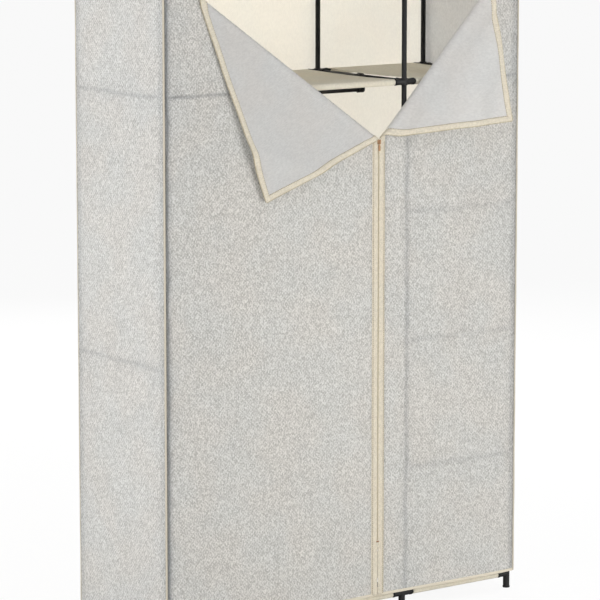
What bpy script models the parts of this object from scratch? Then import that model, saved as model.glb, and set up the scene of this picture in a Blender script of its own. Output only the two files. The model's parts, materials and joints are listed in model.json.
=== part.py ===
"""Free-standing fabric wardrobe: a tube frame in push-fit fittings under a zipped cloth cover.

Metres, +Z up. The front faces -Y and the origin is on the floor at the middle of the footprint.
Places are worked out from the left, front, bottom corner of the cover and moved to that origin
by at().
"""

import math

import bmesh
import bpy
from mathutils import Matrix, Vector

# Frame
tube_diameter = 0.013
tube_wall = 0.001
tube_sides = 12
tier_height = 0.330
foot_height = 0.038  # floor to the axis of the lowest tubes
centre_post_share = 0.6691  # of the cover's width, from its left edge
tier_levels = (1, 2, 3)  # levels that only the narrow bay has
side_rail_level = 2
shelf_level = 4
top_level = 5

# Fittings
fit_gap = 0.0003
hub_wall = 0.0018
hub_rise = 0.009  # hub above and below the axis of its tubes
arm_wall = 0.0012
arm_length = 0.030
rim_step = 0.0005
rim_width = 0.005
socket_floor = 0.0015
foot_sole = 0.010
foot_round = 0.0025
cap_wall = 0.0025
cut_overrun = 0.002
weld = 0.00001

# Hanging rail
rail_drop = 0.032
clip_wall = 0.0022
clip_width = 0.018
clip_strap = 0.008

# Shelves
shelf_cloth = 0.0012
shelf_setback = 0.003  # from a fitting's arm to the shelf's side edge
shelf_sag = 0.006
shelf_sag_points = 6

# Cover
cover_width = 1.100
cover_depth = 0.392
cloth = 0.0015
piping_radius = 0.003
piping_sides = 8
piping_corner = 0.0045  # radius of the bends at the roof's corners
piping_bend_steps = 3
hem_height = 0.047
cloth_belly = 0.004
cloth_fold = 0.0025
fold_count = 3
fold_fade = 0.25  # the doors are flat at their folds and belly out below
side_grid_counts = (4, 8)
back_grid_counts = (8, 8)
door_grid_counts = (8, 14)
flap_grid_counts = (6, 6)
header_grid_counts = (2, 1)
roof_column_counts = (6, 4)
roof_row_count = 4
roof_sag = 0.004

# Opening at the front
zip_share = 0.5873
opening_top = 1.602
vee_height = 1.217
left_fold_share = 0.085  # of the width, where the left fold meets the top of the opening
right_fold_share = 0.9176
left_lift = math.radians(3)  # how far each turned-out corner stands off the door
right_lift = math.radians(16)
flap_tip = 0.016  # cloth left away round the slider at the point of the V
flap_curl = 0.006  # how far a turned-out corner bends away from the door

# Zips
tape_width = 0.020
bead_radius = 0.0016
bead_sides = 8
bead_points = 4  # along each of a flap's rows of teeth
bead_gap = 0.0016
bead_setback = 0.030  # from the ends of a fold to the teeth on its flap
stop_height = 0.190
stop_length = 0.003
stop_half_width = 0.004
stop_rise = 0.0009
park_length = 0.022  # closed zip beyond each end of the opening

# Sliders
slider_length = 0.011
slider_plate = 0.0009
slider_flange = 0.0009
slider_neck = 0.0010
slider_round = 0.0012
slider_rise = 0.001  # slider's end above the point of the V
slider_park = 0.004  # from the end of the opening to a parked slider
bridge_half = 0.0036
bridge_rise = 0.0030
bridge_wire = 0.0007
bridge_points = 7
pull_wire = 0.00055
pull_off = 0.00095
pull_drop = 0.0008
eye_gap = 0.0005
eye_wall = 0.0010
eye_length = 0.0072
pull_length = 0.022
pull_width = 0.0060
pull_round = 0.0020

tube_radius = tube_diameter / 2
bore_radius = tube_radius + fit_gap
hub_radius = bore_radius + hub_wall
arm_radius = bore_radius + arm_wall
rim_radius = arm_radius + rim_step
seat = hub_radius + socket_floor  # from a post's axis to the end of a tube in its socket
piping_in = cloth  # piping's axis inside the cover's outer faces
corner_inset = piping_in + piping_radius + fit_gap + hub_radius
panel_edge = piping_in + piping_radius + fit_gap
centre_post_x = round(cover_width * centre_post_share, 3)  # in whole millimetres
zip_x = round(cover_width * zip_share, 3)  # in whole millimetres
left_fold_x = cover_width * left_fold_share
right_fold_x = cover_width * right_fold_share
bead_offset = bead_gap / 2 + bead_radius
sleeve_radius = bore_radius + shelf_cloth
middle = cloth / 2
plate_half = bead_radius + fit_gap + slider_plate
slider_half_width = bead_gap / 2 + 2 * bead_radius + fit_gap + slider_flange


def level_z(level):
    """Height of the tube axes at a level of the frame."""
    return foot_height + level * tier_height


roof_under = level_z(top_level) + hub_rise + fit_gap
roof_top = roof_under + cloth
panel_top = roof_top - piping_in - piping_radius - fit_gap
post_x = {"left": corner_inset, "centre": centre_post_x, "right": cover_width - corner_inset}
post_y = {"front": corner_inset, "back": cover_depth - corner_inset}
vee = Vector((zip_x, 0, vee_height))
fold_ends = {
    "left": Vector((left_fold_x, 0, opening_top)),
    "right": Vector((right_fold_x, 0, opening_top)),
}
fold_lifts = {"left": left_lift, "right": right_lift}


def fold_reach(side):
    """How far a turned-out corner stands in front of the doors."""
    along = (fold_ends[side] - vee).normalized()
    corner = Vector((0, 0, opening_top - vee_height))
    width = (corner - along * corner.dot(along)).length
    return width * math.sin(fold_lifts[side]) + flap_curl * math.cos(fold_lifts[side])


front_reach = max(fold_reach("left"), fold_reach("right")) + cloth
back_reach = cloth_belly
footprint_middle = Vector((cover_width / 2, (cover_depth + back_reach - front_reach) / 2, 0))


def at(x, y, z):
    """A place measured from the cover's left, front, bottom corner, in the part's own frame."""
    return Vector((x, y, z)) - footprint_middle


def finish(name, colour, roughness, metallic=0.0):
    material = bpy.data.materials.new(name)
    material.use_nodes = True
    shader = material.node_tree.nodes["Principled BSDF"]
    shader.inputs["Base Color"].default_value = (*colour, 1)
    shader.inputs["Roughness"].default_value = roughness
    shader.inputs["Metallic"].default_value = metallic
    material.diffuse_color = (*colour, 1)
    return material


for old in list(bpy.data.objects):
    bpy.data.objects.remove(old)
wardrobe = bpy.data.collections.new("wardrobe")
cutters = bpy.data.collections.new("cutters")
for group in (wardrobe, cutters):
    bpy.context.scene.collection.children.link(group)

coated_steel = finish("coated_steel", (0.012, 0.012, 0.013), 0.35, 0.4)
black_plastic = finish("black_plastic", (0.016, 0.016, 0.017), 0.5)
heather_cloth = finish("heather_cloth", (0.60, 0.59, 0.56), 0.9)
cream_cloth = finish("cream_cloth", (0.79, 0.74, 0.62), 0.9)
cream_tape = finish("cream_tape", (0.77, 0.70, 0.54), 0.8)
bronze_metal = finish("bronze_metal", (0.40, 0.22, 0.10), 0.4, 0.8)


def place(mesh, name, material, collection=wardrobe):
    """A new object for a mesh, shaded smooth across its shallow edges."""
    obj = bpy.data.objects.new(name, mesh)
    collection.objects.link(obj)
    mesh.shade_smooth()
    mesh.set_sharp_from_angle(angle=math.radians(40))
    if material:
        mesh.materials.append(material)
    return obj


def finished_mesh(bm, name):
    mesh = bpy.data.meshes.new(name)
    bm.to_mesh(mesh)
    bm.free()
    return mesh


def rod(start, end, radius, sides=tube_sides, caps=True):
    """Mesh of a straight round bar between two points."""
    bm = bmesh.new()
    run = end - start
    turn = run.to_track_quat("Z", "Y").to_matrix().to_4x4()
    bmesh.ops.create_cone(
        bm, cap_ends=caps, segments=sides, radius1=radius, radius2=radius, depth=run.length,
        matrix=Matrix.Translation((start + end) / 2) @ turn,
    )
    return finished_mesh(bm, "rod")


def block(low, high, round_off=0.0):
    """Mesh of a box between two corners, with its edges along Y rounded off."""
    bm = bmesh.new()
    size = high - low
    bmesh.ops.create_cube(
        bm, size=1, matrix=Matrix.Translation((low + high) / 2) @ Matrix.Diagonal((*size, 1))
    )
    if round_off:
        along = [e for e in bm.edges if abs((e.verts[0].co - e.verts[1].co).y) > size.y / 2]
        bmesh.ops.bevel(bm, geom=along, offset=round_off, segments=2, profile=0.5, affect="EDGES")
    return finished_mesh(bm, "block")


def curve_mesh(curve, matrix):
    """A curve as a closed mesh with its caps welded on, moved by a matrix."""
    obj = bpy.data.objects.new(curve.name, curve)
    cutters.objects.link(obj)
    graph = bpy.context.evaluated_depsgraph_get()
    mesh = bpy.data.meshes.new_from_object(obj.evaluated_get(graph))
    bpy.data.objects.remove(obj)
    bm = bmesh.new()
    bm.from_mesh(mesh)
    bmesh.ops.remove_doubles(bm, verts=bm.verts, dist=weld)
    bmesh.ops.transform(bm, matrix=matrix, verts=bm.verts)
    bm.to_mesh(mesh)
    bm.free()
    return mesh


def add_spline(curve, points, cyclic, tilt=0.0):
    spline = curve.splines.new("POLY")
    spline.points.add(len(points) - 1)
    for point, place_of in zip(spline.points, points):
        point.co = (*place_of, 1)
        point.tilt = tilt
    spline.use_cyclic_u = cyclic


def outline_mesh(outlines, thickness, matrix):
    """Flat outlines, the later ones holes in the first, made as thick as asked about their plane."""
    curve = bpy.data.curves.new("outline", "CURVE")
    curve.dimensions = "2D"
    curve.fill_mode = "BOTH"
    curve.extrude = thickness / 2
    for points in outlines:
        add_spline(curve, [(x, y, 0) for x, y in points], True)
    return curve_mesh(curve, matrix)


def wire_mesh(points, radius, ring=False, tilt=0.0):
    """A bent round wire, or a closed ring of it, its facets turned by a tilt."""
    curve = bpy.data.curves.new("wire", "CURVE")
    curve.dimensions = "3D"
    curve.bevel_depth = radius
    curve.bevel_resolution = 2
    curve.use_fill_caps = not ring
    add_spline(curve, points, ring, tilt)
    return curve_mesh(curve, Matrix.Identity(4))


def boolean(obj, operation, meshes):
    """Joins meshes to an object, or cuts them from it, in one modifier."""
    if not meshes:
        return
    group = bpy.data.collections.new(f"{obj.name}_{operation.lower()}")
    cutters.children.link(group)
    for number, mesh in enumerate(meshes):
        shape = place(mesh, f"{group.name}_{number}", None, group)
        shape.hide_render = True
        shape.display_type = "WIRE"
        shape.matrix_world = obj.matrix_world
    modifier = obj.modifiers.new(operation.title(), "BOOLEAN")
    modifier.operation = operation
    modifier.solver = "EXACT"
    modifier.operand_type = "COLLECTION"
    modifier.collection = group


def fused(name, material, joined, cut=(), matrix=None):
    """One solid from overlapping meshes, less the meshes that are cut away."""
    obj = place(joined[0], name, material)
    if matrix:
        obj.matrix_world = matrix
    boolean(obj, "UNION", joined[1:])
    boolean(obj, "DIFFERENCE", cut)
    return obj


# Tubes


def tube(name, start, end):
    """A steel tube, open at both ends."""
    obj = place(rod(start, end, tube_radius, caps=False), name, coated_steel)
    wall = obj.modifiers.new("Wall", "SOLIDIFY")
    wall.thickness = tube_wall
    wall.offset = -1
    wall.use_even_offset = True
    return obj


def make_posts():
    low = foot_sole + fit_gap
    high = level_z(top_level) + hub_rise - cap_wall - fit_gap
    for depth, y in post_y.items():
        for side, x in post_x.items():
            tube(f"post_{depth}_{side}", at(x, y, low), at(x, y, high))


def make_level_tubes(level, label):
    """The seven tubes that join the six posts at one level."""
    z = level_z(level)
    bays = {"wide_bay": ("left", "centre"), "narrow_bay": ("centre", "right")}
    for depth, y in post_y.items():
        for bay, (a, b) in bays.items():
            tube(f"{label}_tube_{depth}_{bay}", at(post_x[a] + seat, y, z), at(post_x[b] - seat, y, z))
    for side, x in post_x.items():
        front, back = post_y["front"] + seat, post_y["back"] - seat
        tube(f"{label}_tube_{side}_side", at(x, front, z), at(x, back, z))


# Fittings


def arm_meshes(centre, directions, rims=True):
    """The arms of a fitting, with a thicker rim at each mouth; opposite arms are one bar."""
    meshes = []
    reach = arm_length - rim_width / 2 if rims else arm_length
    for number, way in enumerate(directions):
        opposite = [other for other in directions if other.dot(way) < 0]
        if not opposite or number < directions.index(opposite[0]):
            back = opposite[0] * reach if opposite else Vector()
            meshes.append(rod(centre + back, centre + way * reach, arm_radius))
        if rims:
            mouth = centre + way * arm_length
            meshes.append(rod(mouth - way * rim_width, mouth, rim_radius))
    return meshes


def socket_mesh(centre, direction):
    """The bore of an arm, from its mouth to the seat of the tube."""
    inner = centre + direction * (seat - fit_gap)
    return rod(inner, centre + direction * (arm_length + cut_overrun), bore_radius)


def arm_directions(side, depth):
    """The ways in which tubes leave a post, along X and into the frame along Y."""
    along = {"left": (1,), "centre": (1, -1), "right": (-1,)}[side]
    inward = {"front": 1, "back": -1}[depth]
    return [Vector((way, 0, 0)) for way in along] + [Vector((0, inward, 0))]


def foot_hub(x, y):
    """The leg and hub of a foot fitting, with the edge of its sole rounded."""
    bm = bmesh.new()
    height = foot_height + hub_rise
    bmesh.ops.create_cone(
        bm, cap_ends=True, segments=tube_sides, radius1=hub_radius, radius2=hub_radius,
        depth=height, matrix=Matrix.Translation(at(x, y, height / 2)),
    )
    sole = [e for e in bm.edges if all(v.co.z < foot_sole for v in e.verts)]
    bmesh.ops.bevel(bm, geom=sole, offset=foot_round, segments=2, profile=0.5, affect="EDGES")
    return finished_mesh(bm, "foot_hub")


def make_foot(side, depth):
    x, y = post_x[side], post_y[depth]
    centre = at(x, y, foot_height)
    arms = arm_directions(side, depth)
    joined = [foot_hub(x, y)] + arm_meshes(centre, arms)
    top = at(x, y, foot_height + hub_rise + cut_overrun)
    cut = [rod(at(x, y, foot_sole), top, bore_radius)] + [socket_mesh(centre, way) for way in arms]
    fused(f"foot_{depth}_{side}", black_plastic, joined, cut)


def hub_mesh(x, y, z):
    return rod(at(x, y, z - hub_rise), at(x, y, z + hub_rise), hub_radius)


def post_bore(x, y, z, blind=False):
    """The bore that a post goes through, or ends in under a cap."""
    top = hub_rise - cap_wall if blind else hub_rise + cut_overrun
    return rod(at(x, y, z - hub_rise - cut_overrun), at(x, y, z + top), bore_radius)


def make_shelf_fitting(side, depth):
    x, y, z = post_x[side], post_y[depth], level_z(shelf_level)
    centre = at(x, y, z)
    arms = arm_directions(side, depth)
    joined = [hub_mesh(x, y, z)] + arm_meshes(centre, arms)
    cut = [post_bore(x, y, z)] + [socket_mesh(centre, way) for way in arms]
    fused(f"shelf_fitting_{depth}_{side}", black_plastic, joined, cut)


def make_ring(name, level, sides, cross=True, blind=False):
    """A level of the frame as one piece: hubs on the posts, arms, and the tubes between them."""
    z = level_z(level)
    joined, cut = [], []
    for depth, y in post_y.items():
        for side in sides:
            x = post_x[side]
            joined.append(hub_mesh(x, y, z))
            cut.append(post_bore(x, y, z, blind))
            ways = [
                way for way in arm_directions(side, depth)
                if way.y or (cross and any((post_x[s] - x) * way.x > 0 for s in sides))
            ]
            joined += arm_meshes(at(x, y, z), ways, rims=False)
        runs = zip(sides[:-1], sides[1:]) if cross else ()
        joined += [rod(at(post_x[a], y, z), at(post_x[b], y, z), tube_radius) for a, b in runs]
    for side in sides:
        x = post_x[side]
        joined.append(rod(at(x, post_y["front"], z), at(x, post_y["back"], z), tube_radius))
    fused(name, coated_steel, joined, cut)


def make_hanging_rail():
    """The rail under the wide bay's shelf, in a clip round the tube at each end."""
    z = level_z(shelf_level)
    rail_z = z - rail_drop
    y = cover_depth / 2
    left, right = post_x["left"], post_x["centre"]
    joined = [rod(at(left, y, rail_z), at(right, y, rail_z), tube_radius)]
    cut = []
    half = clip_width / 2
    clip_radius = bore_radius + clip_wall
    for x in (left, right):
        joined.append(rod(at(x, y - half, z), at(x, y + half, z), clip_radius))
        joined.append(rod(at(x - half, y, rail_z), at(x + half, y, rail_z), clip_radius))
        strap = clip_strap / 2
        joined.append(block(at(x - strap, y - strap, rail_z), at(x + strap, y + strap, z)))
        over = half + cut_overrun
        cut.append(rod(at(x, y - over, z), at(x, y + over, z), bore_radius))
    fused("hanging_rail", coated_steel, joined, cut)


# Shelves


def arc(centre, radius, first, last, steps):
    """Points on a circle from one angle to another, both included."""
    turns = [first + (last - first) * i / steps for i in range(steps + 1)]
    return [(centre[0] + radius * math.cos(t), centre[1] + radius * math.sin(t)) for t in turns]


def shelf_outline(front, back):
    """Side view of a shelf: a sleeve round each tube and the sagging cloth between them."""
    rise = math.asin((sleeve_radius - shelf_cloth) / sleeve_radius)
    nose = arc((front, 0), sleeve_radius, rise, math.pi / 2 - math.tau, tube_sides)
    tail = arc((back, 0), sleeve_radius, math.pi / 2, -math.pi - rise, tube_sides)
    shares = [i / shelf_sag_points for i in range(1, shelf_sag_points)]
    dips = [(front + (back - front) * s, -shelf_sag * math.sin(math.pi * s)) for s in shares]
    upper = [(y, sleeve_radius + dip) for y, dip in dips]
    lower = [(y, sleeve_radius - shelf_cloth + dip) for y, dip in reversed(dips)]
    return nose + upper + tail + lower


def make_shelf(name, bay, level):
    x_low = post_x[bay[0]] + arm_length + shelf_setback
    x_high = post_x[bay[1]] - arm_length - shelf_setback
    front, back = post_y["front"], post_y["back"]
    bores = [arc((y, 0), bore_radius, 0, math.tau, tube_sides)[:-1] for y in (front, back)]
    # The outline's X and Y become the part's Y and Z, and its thickness runs along X.
    axes = Matrix(((0, 0, 1, 0), (1, 0, 0, 0), (0, 1, 0, 0), (0, 0, 0, 1)))
    move = Matrix.Translation(at((x_low + x_high) / 2, 0, level_z(level))) @ axes
    place(outline_mesh([shelf_outline(front, back)] + bores, x_high - x_low, move), name, cream_cloth)


# Cover


def upright(out, corner):
    """From a hanging panel's own plane, X across and Y up as seen from outside, to its place."""
    up = Vector((0, 0, 1))
    return Matrix.Translation(corner) @ Matrix((up.cross(out), up, out)).transposed().to_4x4()


front_frame = upright(Vector((0, -1, 0)), at(0, 0, 0))


def sheet(across, along, columns, rows):
    """A flat grid of cloth between two limits each way, in its own X and Y."""
    bm = bmesh.new()
    bmesh.ops.create_grid(bm, x_segments=columns, y_segments=rows, size=1 / 2)
    for v in bm.verts:
        v.co.x = across[0] + (across[1] - across[0]) * (v.co.x + 1 / 2)
        v.co.y = along[0] + (along[1] - along[0]) * (v.co.y + 1 / 2)
    return bm


def swell(u, v):
    """A smooth rise in the middle of a panel, nought at its four edges."""
    return math.sin(math.pi * u) * math.sin(math.pi * v)


def hang(bm, across, along, fold_side=None):
    """Lets a panel belly out a little, with soft upright folds that fade towards its top."""
    for v in bm.verts:
        u = min(max((v.co.x - across[0]) / (across[1] - across[0]), 0), 1)
        w = min(max((v.co.y - along[0]) / (along[1] - along[0]), 0), 1)
        folds = cloth_fold * math.sin(fold_count * math.pi * u) ** 2 * (1 - w)
        out = (cloth_belly + folds) * swell(u, w)
        if fold_side:
            below = -fold_distance(fold_side, v.co)
            near = min(max(below / fold_fade, 0), 1)
            out *= near * near
        v.co.z = out


def fold_normal(side):
    """Across the fold between door and flap, towards the flap, in a front panel's own plane."""
    run = fold_ends[side] - vee
    normal = Vector((-run.z, run.x, 0)).normalized()
    return normal if normal.y > 0 else -normal


def fold_distance(side, place_of):
    """How far a place in a front panel's own plane is above the fold between door and flap."""
    return (place_of - Vector((vee.x, vee.z, 0))).dot(fold_normal(side))


def cut_at_fold(bm, side, keep_above, shift=0.0):
    """Cuts a front panel, in its own plane, along the fold between door and flap."""
    normal = fold_normal(side)
    bmesh.ops.bisect_plane(
        bm, geom=bm.verts[:] + bm.edges[:] + bm.faces[:], dist=weld,
        plane_co=Vector((vee.x, vee.z, 0)) + normal * shift, plane_no=normal,
        clear_outer=not keep_above, clear_inner=keep_above,
    )


def thicken(obj):
    """Gives a sheet its cloth's thickness, inwards from its outer face."""
    skin = obj.modifiers.new("Cloth", "SOLIDIFY")
    skin.thickness = cloth
    skin.offset = -1
    skin.use_even_offset = True


def hanging_panel(name, material, across, along, grid, frame, fold_side=None):
    bm = sheet(across, along, *grid)
    if fold_side:
        cut_at_fold(bm, fold_side, keep_above=False)
    hang(bm, across, along, fold_side)
    bmesh.ops.transform(bm, matrix=frame, verts=bm.verts)
    obj = place(finished_mesh(bm, name), name, material)
    thicken(obj)
    return obj


def bead(start, end):
    """One side's row of zip teeth, as a plain bar."""
    return rod(start, end, bead_radius, bead_sides)


def make_side_panels():
    """Each side with the piping of its two upright seams."""
    inner = (piping_in, cover_depth - piping_in)
    span = (hem_height, panel_top)
    for name, x, way in (("left", 0, -1), ("right", cover_width, 1)):
        across = tuple(sorted(way * y for y in inner))
        frame = upright(Vector((way, 0, 0)), at(x, 0, 0))
        panel = hanging_panel(
            f"{name}_side_panel", heather_cloth, across, span, side_grid_counts, frame
        )
        pipe_x = x - way * piping_in
        boolean(panel, "UNION", [
            rod(at(pipe_x, y, hem_height), at(pipe_x, y, panel_top), piping_radius, piping_sides)
            for y in inner
        ])


def make_back_panel():
    across = (panel_edge - cover_width, -panel_edge)
    frame = upright(Vector((0, 1, 0)), at(0, cover_depth, 0))
    hanging_panel("back_panel", cream_cloth, across, (hem_height, panel_top), back_grid_counts, frame)


def make_roof():
    """The roof with the piping round its edge, sagging a little over each bay."""
    stops = (piping_in, centre_post_x, cover_width - piping_in)
    xs = [
        a + (b - a) * i / count
        for a, b, count in zip(stops, stops[1:], roof_column_counts) for i in range(count)
    ] + [stops[-1]]
    depth = (piping_in, cover_depth - piping_in)
    bm = sheet((0, len(xs) - 1), depth, len(xs) - 1, roof_row_count)
    for v in bm.verts:
        x = xs[round(v.co.x)]
        low, high = stops[:2] if x <= stops[1] else stops[1:]
        share = (v.co.y - depth[0]) / (depth[1] - depth[0])
        dip = roof_sag * swell((x - low) / (high - low), share) ** 2
        v.co = at(x, v.co.y, roof_top - dip)
    roof = place(finished_mesh(bm, "roof_panel"), "roof_panel", heather_cloth)
    thicken(roof)
    z = roof_top - piping_in
    near, far = (depth[0] + piping_corner, depth[1] - piping_corner)
    left, right = (stops[0] + piping_corner, stops[-1] - piping_corner)
    ring = []
    for number, centre in enumerate(((right, near), (right, far), (left, far), (left, near))):
        first = math.pi / 2 * (number - 1)
        ring += [
            at(x, y, z)
            for x, y in arc(centre, piping_corner, first, first + math.pi / 2, piping_bend_steps)
        ]
    # The cloth meets the cord in the middle of a facet, not along one of its edges.
    boolean(roof, "UNION", [wire_mesh(ring, piping_radius, True, math.pi / piping_sides)])


def make_header():
    """The strip above the opening, with the zip's upper row of teeth along its lower edge."""
    low = opening_top + bead_offset
    bm = sheet((panel_edge, cover_width - panel_edge), (low, panel_top), *header_grid_counts)
    bmesh.ops.transform(bm, matrix=front_frame, verts=bm.verts)
    header = place(finished_mesh(bm, "header"), "header", heather_cloth)
    thicken(header)
    ends = (left_fold_x - park_length, right_fold_x + park_length)
    boolean(header, "UNION", [bead(at(ends[0], middle, low), at(ends[1], middle, low))])


def make_door(side):
    """A door below its fold, with the short closed stretch of zip at the end of the opening."""
    if side == "left":
        across = (panel_edge, zip_x - tape_width - fit_gap)
        park = (left_fold_x - park_length, left_fold_x - fit_gap)
    else:
        across = (zip_x + tape_width + fit_gap, cover_width - panel_edge)
        park = (right_fold_x + fit_gap, right_fold_x + park_length)
    top = opening_top - bead_offset
    door = hanging_panel(
        f"{side}_door", heather_cloth, across, (hem_height, top), door_grid_counts, front_frame, side
    )
    boolean(door, "UNION", [bead(at(park[0], middle, top), at(park[1], middle, top))])


def make_tape(side):
    """Half of the upright zip up to the point of the V, sewn shut below its stop."""
    way = -1 if side == "left" else 1
    run = fold_ends[side] - vee
    slope = run.z / abs(run.x)
    seam = fit_gap / 2
    stop_foot = stop_height - stop_length
    outline = [
        (zip_x + way * off, z)
        for off, z in (
            (tape_width, hem_height), (seam, hem_height), (seam, stop_foot),
            (bead_offset, stop_foot), (bead_offset, vee_height + bead_offset * slope),
            (tape_width, vee_height + tape_width * slope),
        )
    ]
    middle_plane = upright(Vector((0, -1, 0)), at(0, middle, 0))
    bead_x = zip_x + way * bead_offset
    stop = sorted((zip_x + way * seam, zip_x + way * stop_half_width))
    fused(f"{side}_zip_tape", cream_tape, [
        outline_mesh([outline], cloth, middle_plane),
        bead(at(bead_x, middle, stop_height - stop_length / 2), at(bead_x, middle, vee_height)),
        block(
            at(stop[0], -stop_rise, stop_foot - stop_length / 2),
            at(stop[1], cloth + stop_rise, stop_height),
        ),
    ])


def make_flap(side):
    """A corner of the front, made shut about its fold and swung out to where it rests."""
    way = -1 if side == "left" else 1
    end = fold_ends[side]
    zip_edge = zip_x + way * bead_offset
    top = opening_top - bead_offset
    bm = sheet(sorted((end.x, zip_edge)), (vee_height, top), *flap_grid_counts)
    cut_at_fold(bm, side, keep_above=True, shift=fit_gap / 2)
    run = Vector((end.x - vee.x, end.z - vee.z, 0)).normalized()
    tip = Vector((vee.x, vee.z, 0)) + run * flap_tip
    bmesh.ops.bisect_plane(
        bm, geom=bm.verts[:] + bm.edges[:] + bm.faces[:], dist=weld, plane_co=tip,
        plane_no=run, clear_inner=True,
    )
    width = fold_distance(side, Vector((zip_edge, top, 0)))
    for v in bm.verts:
        v.co.z = -flap_curl * (fold_distance(side, v.co) / width) ** 2
    pivot = at(vee.x, -fit_gap / 2, vee.z)
    bmesh.ops.transform(bm, matrix=Matrix.Translation(-pivot) @ front_frame, verts=bm.verts)
    axis = (end - vee).normalized()
    flap = place(finished_mesh(bm, f"{side}_flap"), f"{side}_flap", heather_cloth)
    swing = Matrix.Rotation(way * (math.pi - fold_lifts[side]), 4, axis)
    flap.matrix_world = Matrix.Translation(pivot) @ swing
    thicken(flap)

    def row(x, z):
        """A place on the middle of the flap's cloth, measured from its pivot."""
        here = Vector((x, z, 0))
        curl = flap_curl * (fold_distance(side, here) / width) ** 2
        return at(x, middle + curl, z) - pivot

    def bead_along(first, last):
        """A row of teeth that follows the flap's curl."""
        return wire_mesh(
            [row(*first.lerp(last, i / bead_points)) for i in range(bead_points + 1)], bead_radius
        )

    boolean(flap, "UNION", [
        bead_along(
            Vector((zip_edge, vee_height + bead_setback)), Vector((zip_edge, top - slider_half_width))
        ),
        bead_along(Vector((end.x - way * bead_setback, top)), Vector((zip_edge, top))),
    ])


# Sliders


def slider_shapes():
    """A slider about its own middle, its zip along Z and its front at -Y: body, bridge and cuts."""
    half = slider_length / 2
    corner = Vector((slider_half_width, plate_half, half))
    body = block(-corner, corner, slider_round)
    base_y = bridge_wire / 2 - plate_half
    turns = [math.pi * i / (bridge_points - 1) for i in range(bridge_points)]
    bridge = wire_mesh(
        [(0, base_y - bridge_rise * math.sin(t), -bridge_half * math.cos(t)) for t in turns],
        bridge_wire,
    )
    channel, slot = bead_radius + fit_gap, cloth / 2 + fit_gap
    flange = slider_half_width - slider_flange
    outside = slider_half_width + cut_overrun
    cuts = []
    for way in (-1, 1):
        half_outline = [(slider_neck / 2, channel), (flange, channel), (flange, slot), (outside, slot)]
        mirrored = [(x, -y) for x, y in reversed(half_outline)]
        outline = [(way * x, y) for x, y in half_outline + mirrored]
        cuts.append(outline_mesh([outline], slider_length + 2 * cut_overrun, Matrix.Identity(4)))
    return [body, bridge], cuts


def make_sliders():
    joined, cut = slider_shapes()
    lying = Matrix.Rotation(math.pi / 2, 4, "Y")
    centre = at(zip_x, middle, vee_height + slider_rise - slider_length / 2)
    fused("zip_slider", bronze_metal, joined, cut, Matrix.Translation(centre))
    make_pull("zip_pull", centre)
    off = slider_park + slider_length / 2
    parked = {"left": left_fold_x - off, "right": right_fold_x + off}
    for side, x in parked.items():
        stand = Matrix.Translation(at(x, middle, opening_top)) @ lying
        fused(f"top_slider_{side}", bronze_metal, joined, cut, stand)


def make_pull(name, slider_centre):
    """The pull tab, hanging from the wire that passes under the slider's bridge."""
    pivot = slider_centre + Vector((0, -plate_half - pull_off, -pull_drop))
    inner = bridge_wire + eye_gap
    outer = inner + eye_wall
    tab_top = -eye_length
    joined = [
        block(
            Vector((-pull_width / 2, -pull_wire, -pull_length)),
            Vector((pull_width / 2, pull_wire, tab_top)),
            pull_round,
        ),
        rod(Vector((-outer, 0, 0)), Vector((outer, 0, 0)), pull_wire, bead_sides),
    ]
    cheek = pull_wire - fit_gap / 4
    for way in (-1, 1):
        near, far = sorted((way * inner, way * (outer - fit_gap / 2)))
        joined.append(block(Vector((near, -cheek, tab_top - eye_wall)), Vector((far, cheek, 0))))
    fused(name, bronze_metal, joined, (), Matrix.Translation(pivot))


wide_bay, narrow_bay = ("left", "centre"), ("centre", "right")
make_shelf("wide_shelf_bottom", wide_bay, 0)
make_shelf("wide_shelf_top", wide_bay, shelf_level)
for tier in (0, *tier_levels, shelf_level):
    make_shelf(f"narrow_shelf_{tier}", narrow_bay, tier)

make_sliders()
for half_side in ("left", "right"):
    make_tape(half_side)
    make_flap(half_side)
    make_door(half_side)
make_header()
make_side_panels()
make_back_panel()
make_roof()

make_posts()
make_level_tubes(0, "base")
make_level_tubes(shelf_level, "shelf")
for row_name in post_y:
    for side_name in post_x:
        make_foot(side_name, row_name)
        make_shelf_fitting(side_name, row_name)
for tier in tier_levels:
    make_ring(f"tier_frame_{tier}", tier, ("centre", "right"))
make_ring("top_frame", top_level, ("left", "centre", "right"), blind=True)
make_ring("side_rail", side_rail_level, ("left",), cross=False)
make_hanging_rail()
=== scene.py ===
"""Dresses the tube frame of a free-standing fabric wardrobe: steel, fittings, cloth and zips.

Metres, +Z up, the front faces -Y. Places are given from the cover's left, front, bottom corner
and moved to the frame by at().
"""

import json
import math
from functools import cache, partial

import bmesh
import bpy
from bpy.props import FloatProperty, FloatVectorProperty, PointerProperty
from mathutils import Matrix, Vector, noise

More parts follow.
